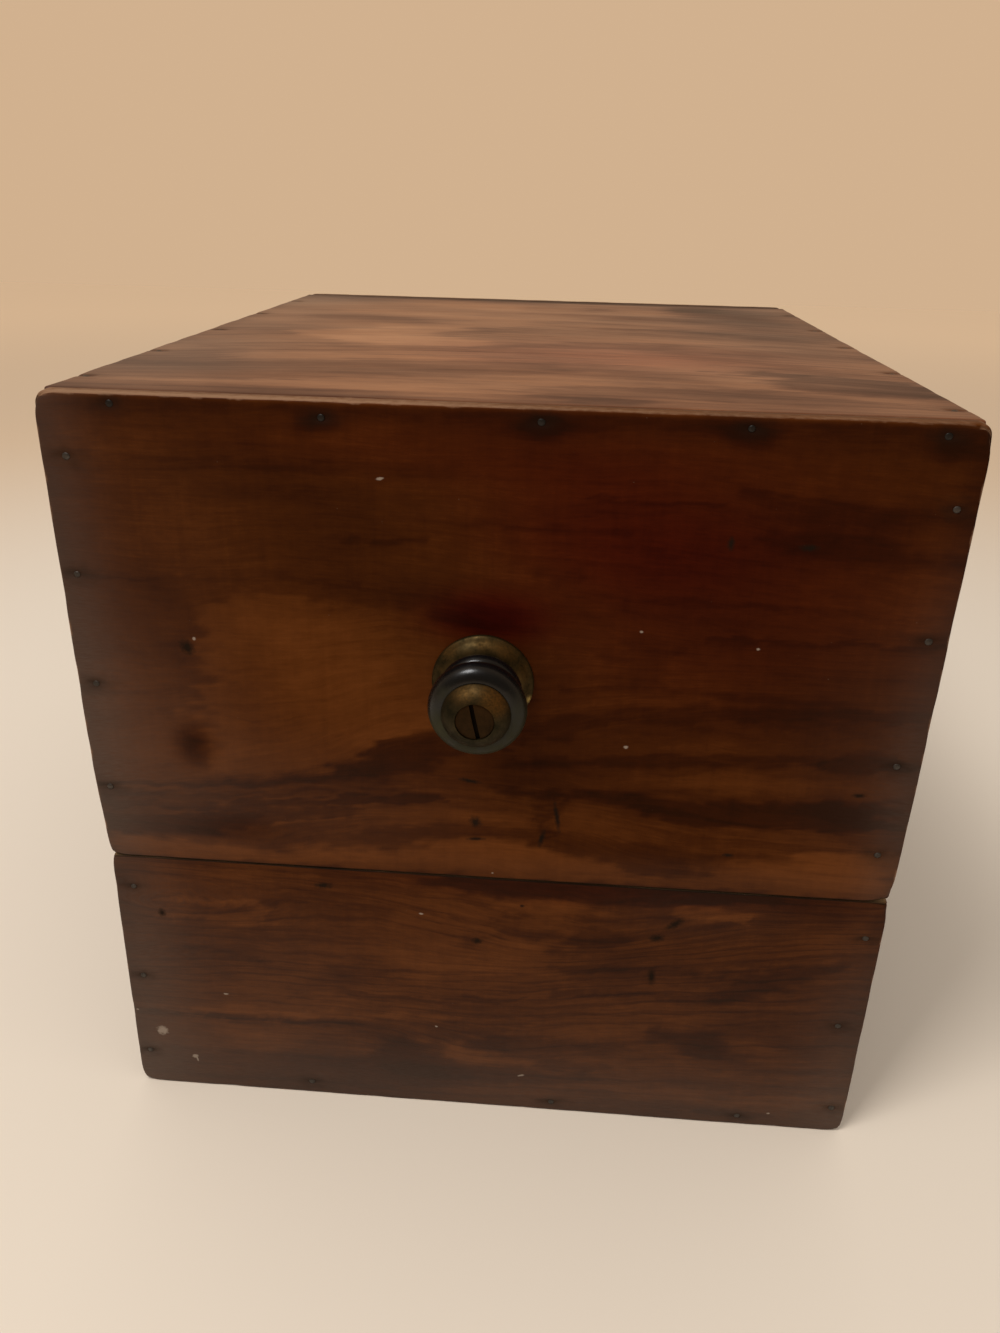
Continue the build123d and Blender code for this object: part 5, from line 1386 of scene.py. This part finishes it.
nailTree = makeDrivenTree("drivenNails", nail, nailShape, metals["nailIron"])
nailFaces = {
    "lidNails": ("lid", [("lid_front_nails", 1, -149, (0, -1, 0)), ("lid_back_nails", 1, 149, (0, 1, 0)),
                         ("lid_top_nails", 2, 236, (0, 0, 1))]),
    "baseNails": ("base", [("base_front_nails", 1, -149, (0, -1, 0)), ("base_back_nails", 1, 149, (0, 1, 0)),
                           ("base_bottom_nails", 2, 0, (0, 0, -1))]),
}
for pieceName, (bodyName, groups) in nailFaces.items():
    places, outwards, shadeAndDirt = [], [], []
    for nodeName, axis, level, outwardWay in groups:
        heads = settled(np.array(nailHeads(nodeName, axis, level)))
        places += [tuple(head * mm) for head in heads]
        outwards += [outwardWay] * len(heads)
        # the top row is the dirtiest
        shadeAndDirt += [0.85 if head[2] > 225 and axis == 1 else 0.1 for head in heads]
    mesh = runTree(pieceName, nailTree, places, {"outward": outwards, "shadeAndDirt": shadeAndDirt}, nail)
    showPiece(pieceName, mesh, bodyName, "old_iron", metals["nailIron"], *[group[0] for group in groups])
    print(pieceName, len(places), "nails,", len(mesh.polygons), "faces")
print("stage: nails")

# hinges on the back, and the washer and nut inside: the CAD pieces with their edges eased
def easedCopy(name, nodeName, body, slotName, material, easing):
    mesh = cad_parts[nodeName].data.copy()
    work = bmesh.new()
    work.from_mesh(mesh)
    bmesh.ops.remove_doubles(work, verts=work.verts, dist=2e-6)
    bmesh.ops.dissolve_limit(work, angle_limit=math.radians(1.0), verts=work.verts, edges=work.edges)
    edges = [e for e in work.edges if len(e.link_faces) == 2 and e.calc_face_angle(0) > math.radians(38)]
    bmesh.ops.bevel(
        work, geom=edges, offset=easing * mm, segments=2, profile=0.6, affect="EDGES", clamp_overlap=True)
    bmesh.ops.recalc_face_normals(work, faces=work.faces)
    work.to_mesh(mesh)
    work.free()
    smooth(mesh, 32)
    showPiece(name, mesh, body, slotName, metals[material], nodeName)


for side in ("left", "right"):
    for part, body, easing in (("LidLeaf", "lid", 0.12), ("BaseLeaf", "base", 0.12), ("Pin", "base", 0.10)):
        nodeName = side + "_hinge_" + {"LidLeaf": "lid_leaf", "BaseLeaf": "base_leaf", "Pin": "pin"}[part]
        easedCopy(side + "Hinge" + part, nodeName, body, "hinge_brass", "hingeBrass", easing)
easedCopy("knobWasher", "knob_washer", "lid", "old_iron", "nailIron", 0.12)
easedCopy("knobNut", "knob_nut", "lid", "old_iron", "nailIron", 0.15)


def makeScrews():
    s = screwShape
    neck = s["shank"] - 0.06
    profile = [(0.0, -s["length"]), (s["shank"] - 0.2, -s["length"]), (neck, 0.3 - s["length"])]
    profile += [(neck, -s["cone"]), (s["head"] - 0.12, -0.10), (s["head"] - 0.16, -0.03)]
    profile += [(s["head"] * 0.5, -0.01), (0.0, -0.01)]
    mesh = slottedMesh("hingeScrew", profile, s["segments"], s["slotWidth"], s["slotDepth"], 0.0, s["easing"])
    template = addObject("hingeScrew", mesh)

    def shape(given):
        return node("GeometryNodeObjectInfo", {"Object": template}).outputs["Geometry"]

    tree = makeDrivenTree("hingeScrews", screw, shape, metals["hingeBrass"])
    for name, nodeName, body in (("lidHingeScrews", "lid_hinge_screws", "lid"),
                                 ("baseHingeScrews", "base_hinge_screws", "base")):
        # a screw's head is wider than a nail's, so one head can give two or three places
        places = [tuple(head * mm) for head in nailHeads(nodeName, 1, 150.2)]
        made = runTree(name, tree, places, {"outward": [(0, 1, 0)] * len(places)}, screw)
        showPiece(name, made, body, "hinge_brass", metals["hingeBrass"], nodeName)
        print(name, len(places), "screws")
    bpy.data.objects.remove(template)


makeScrews()
print("stage: hinges and screws")
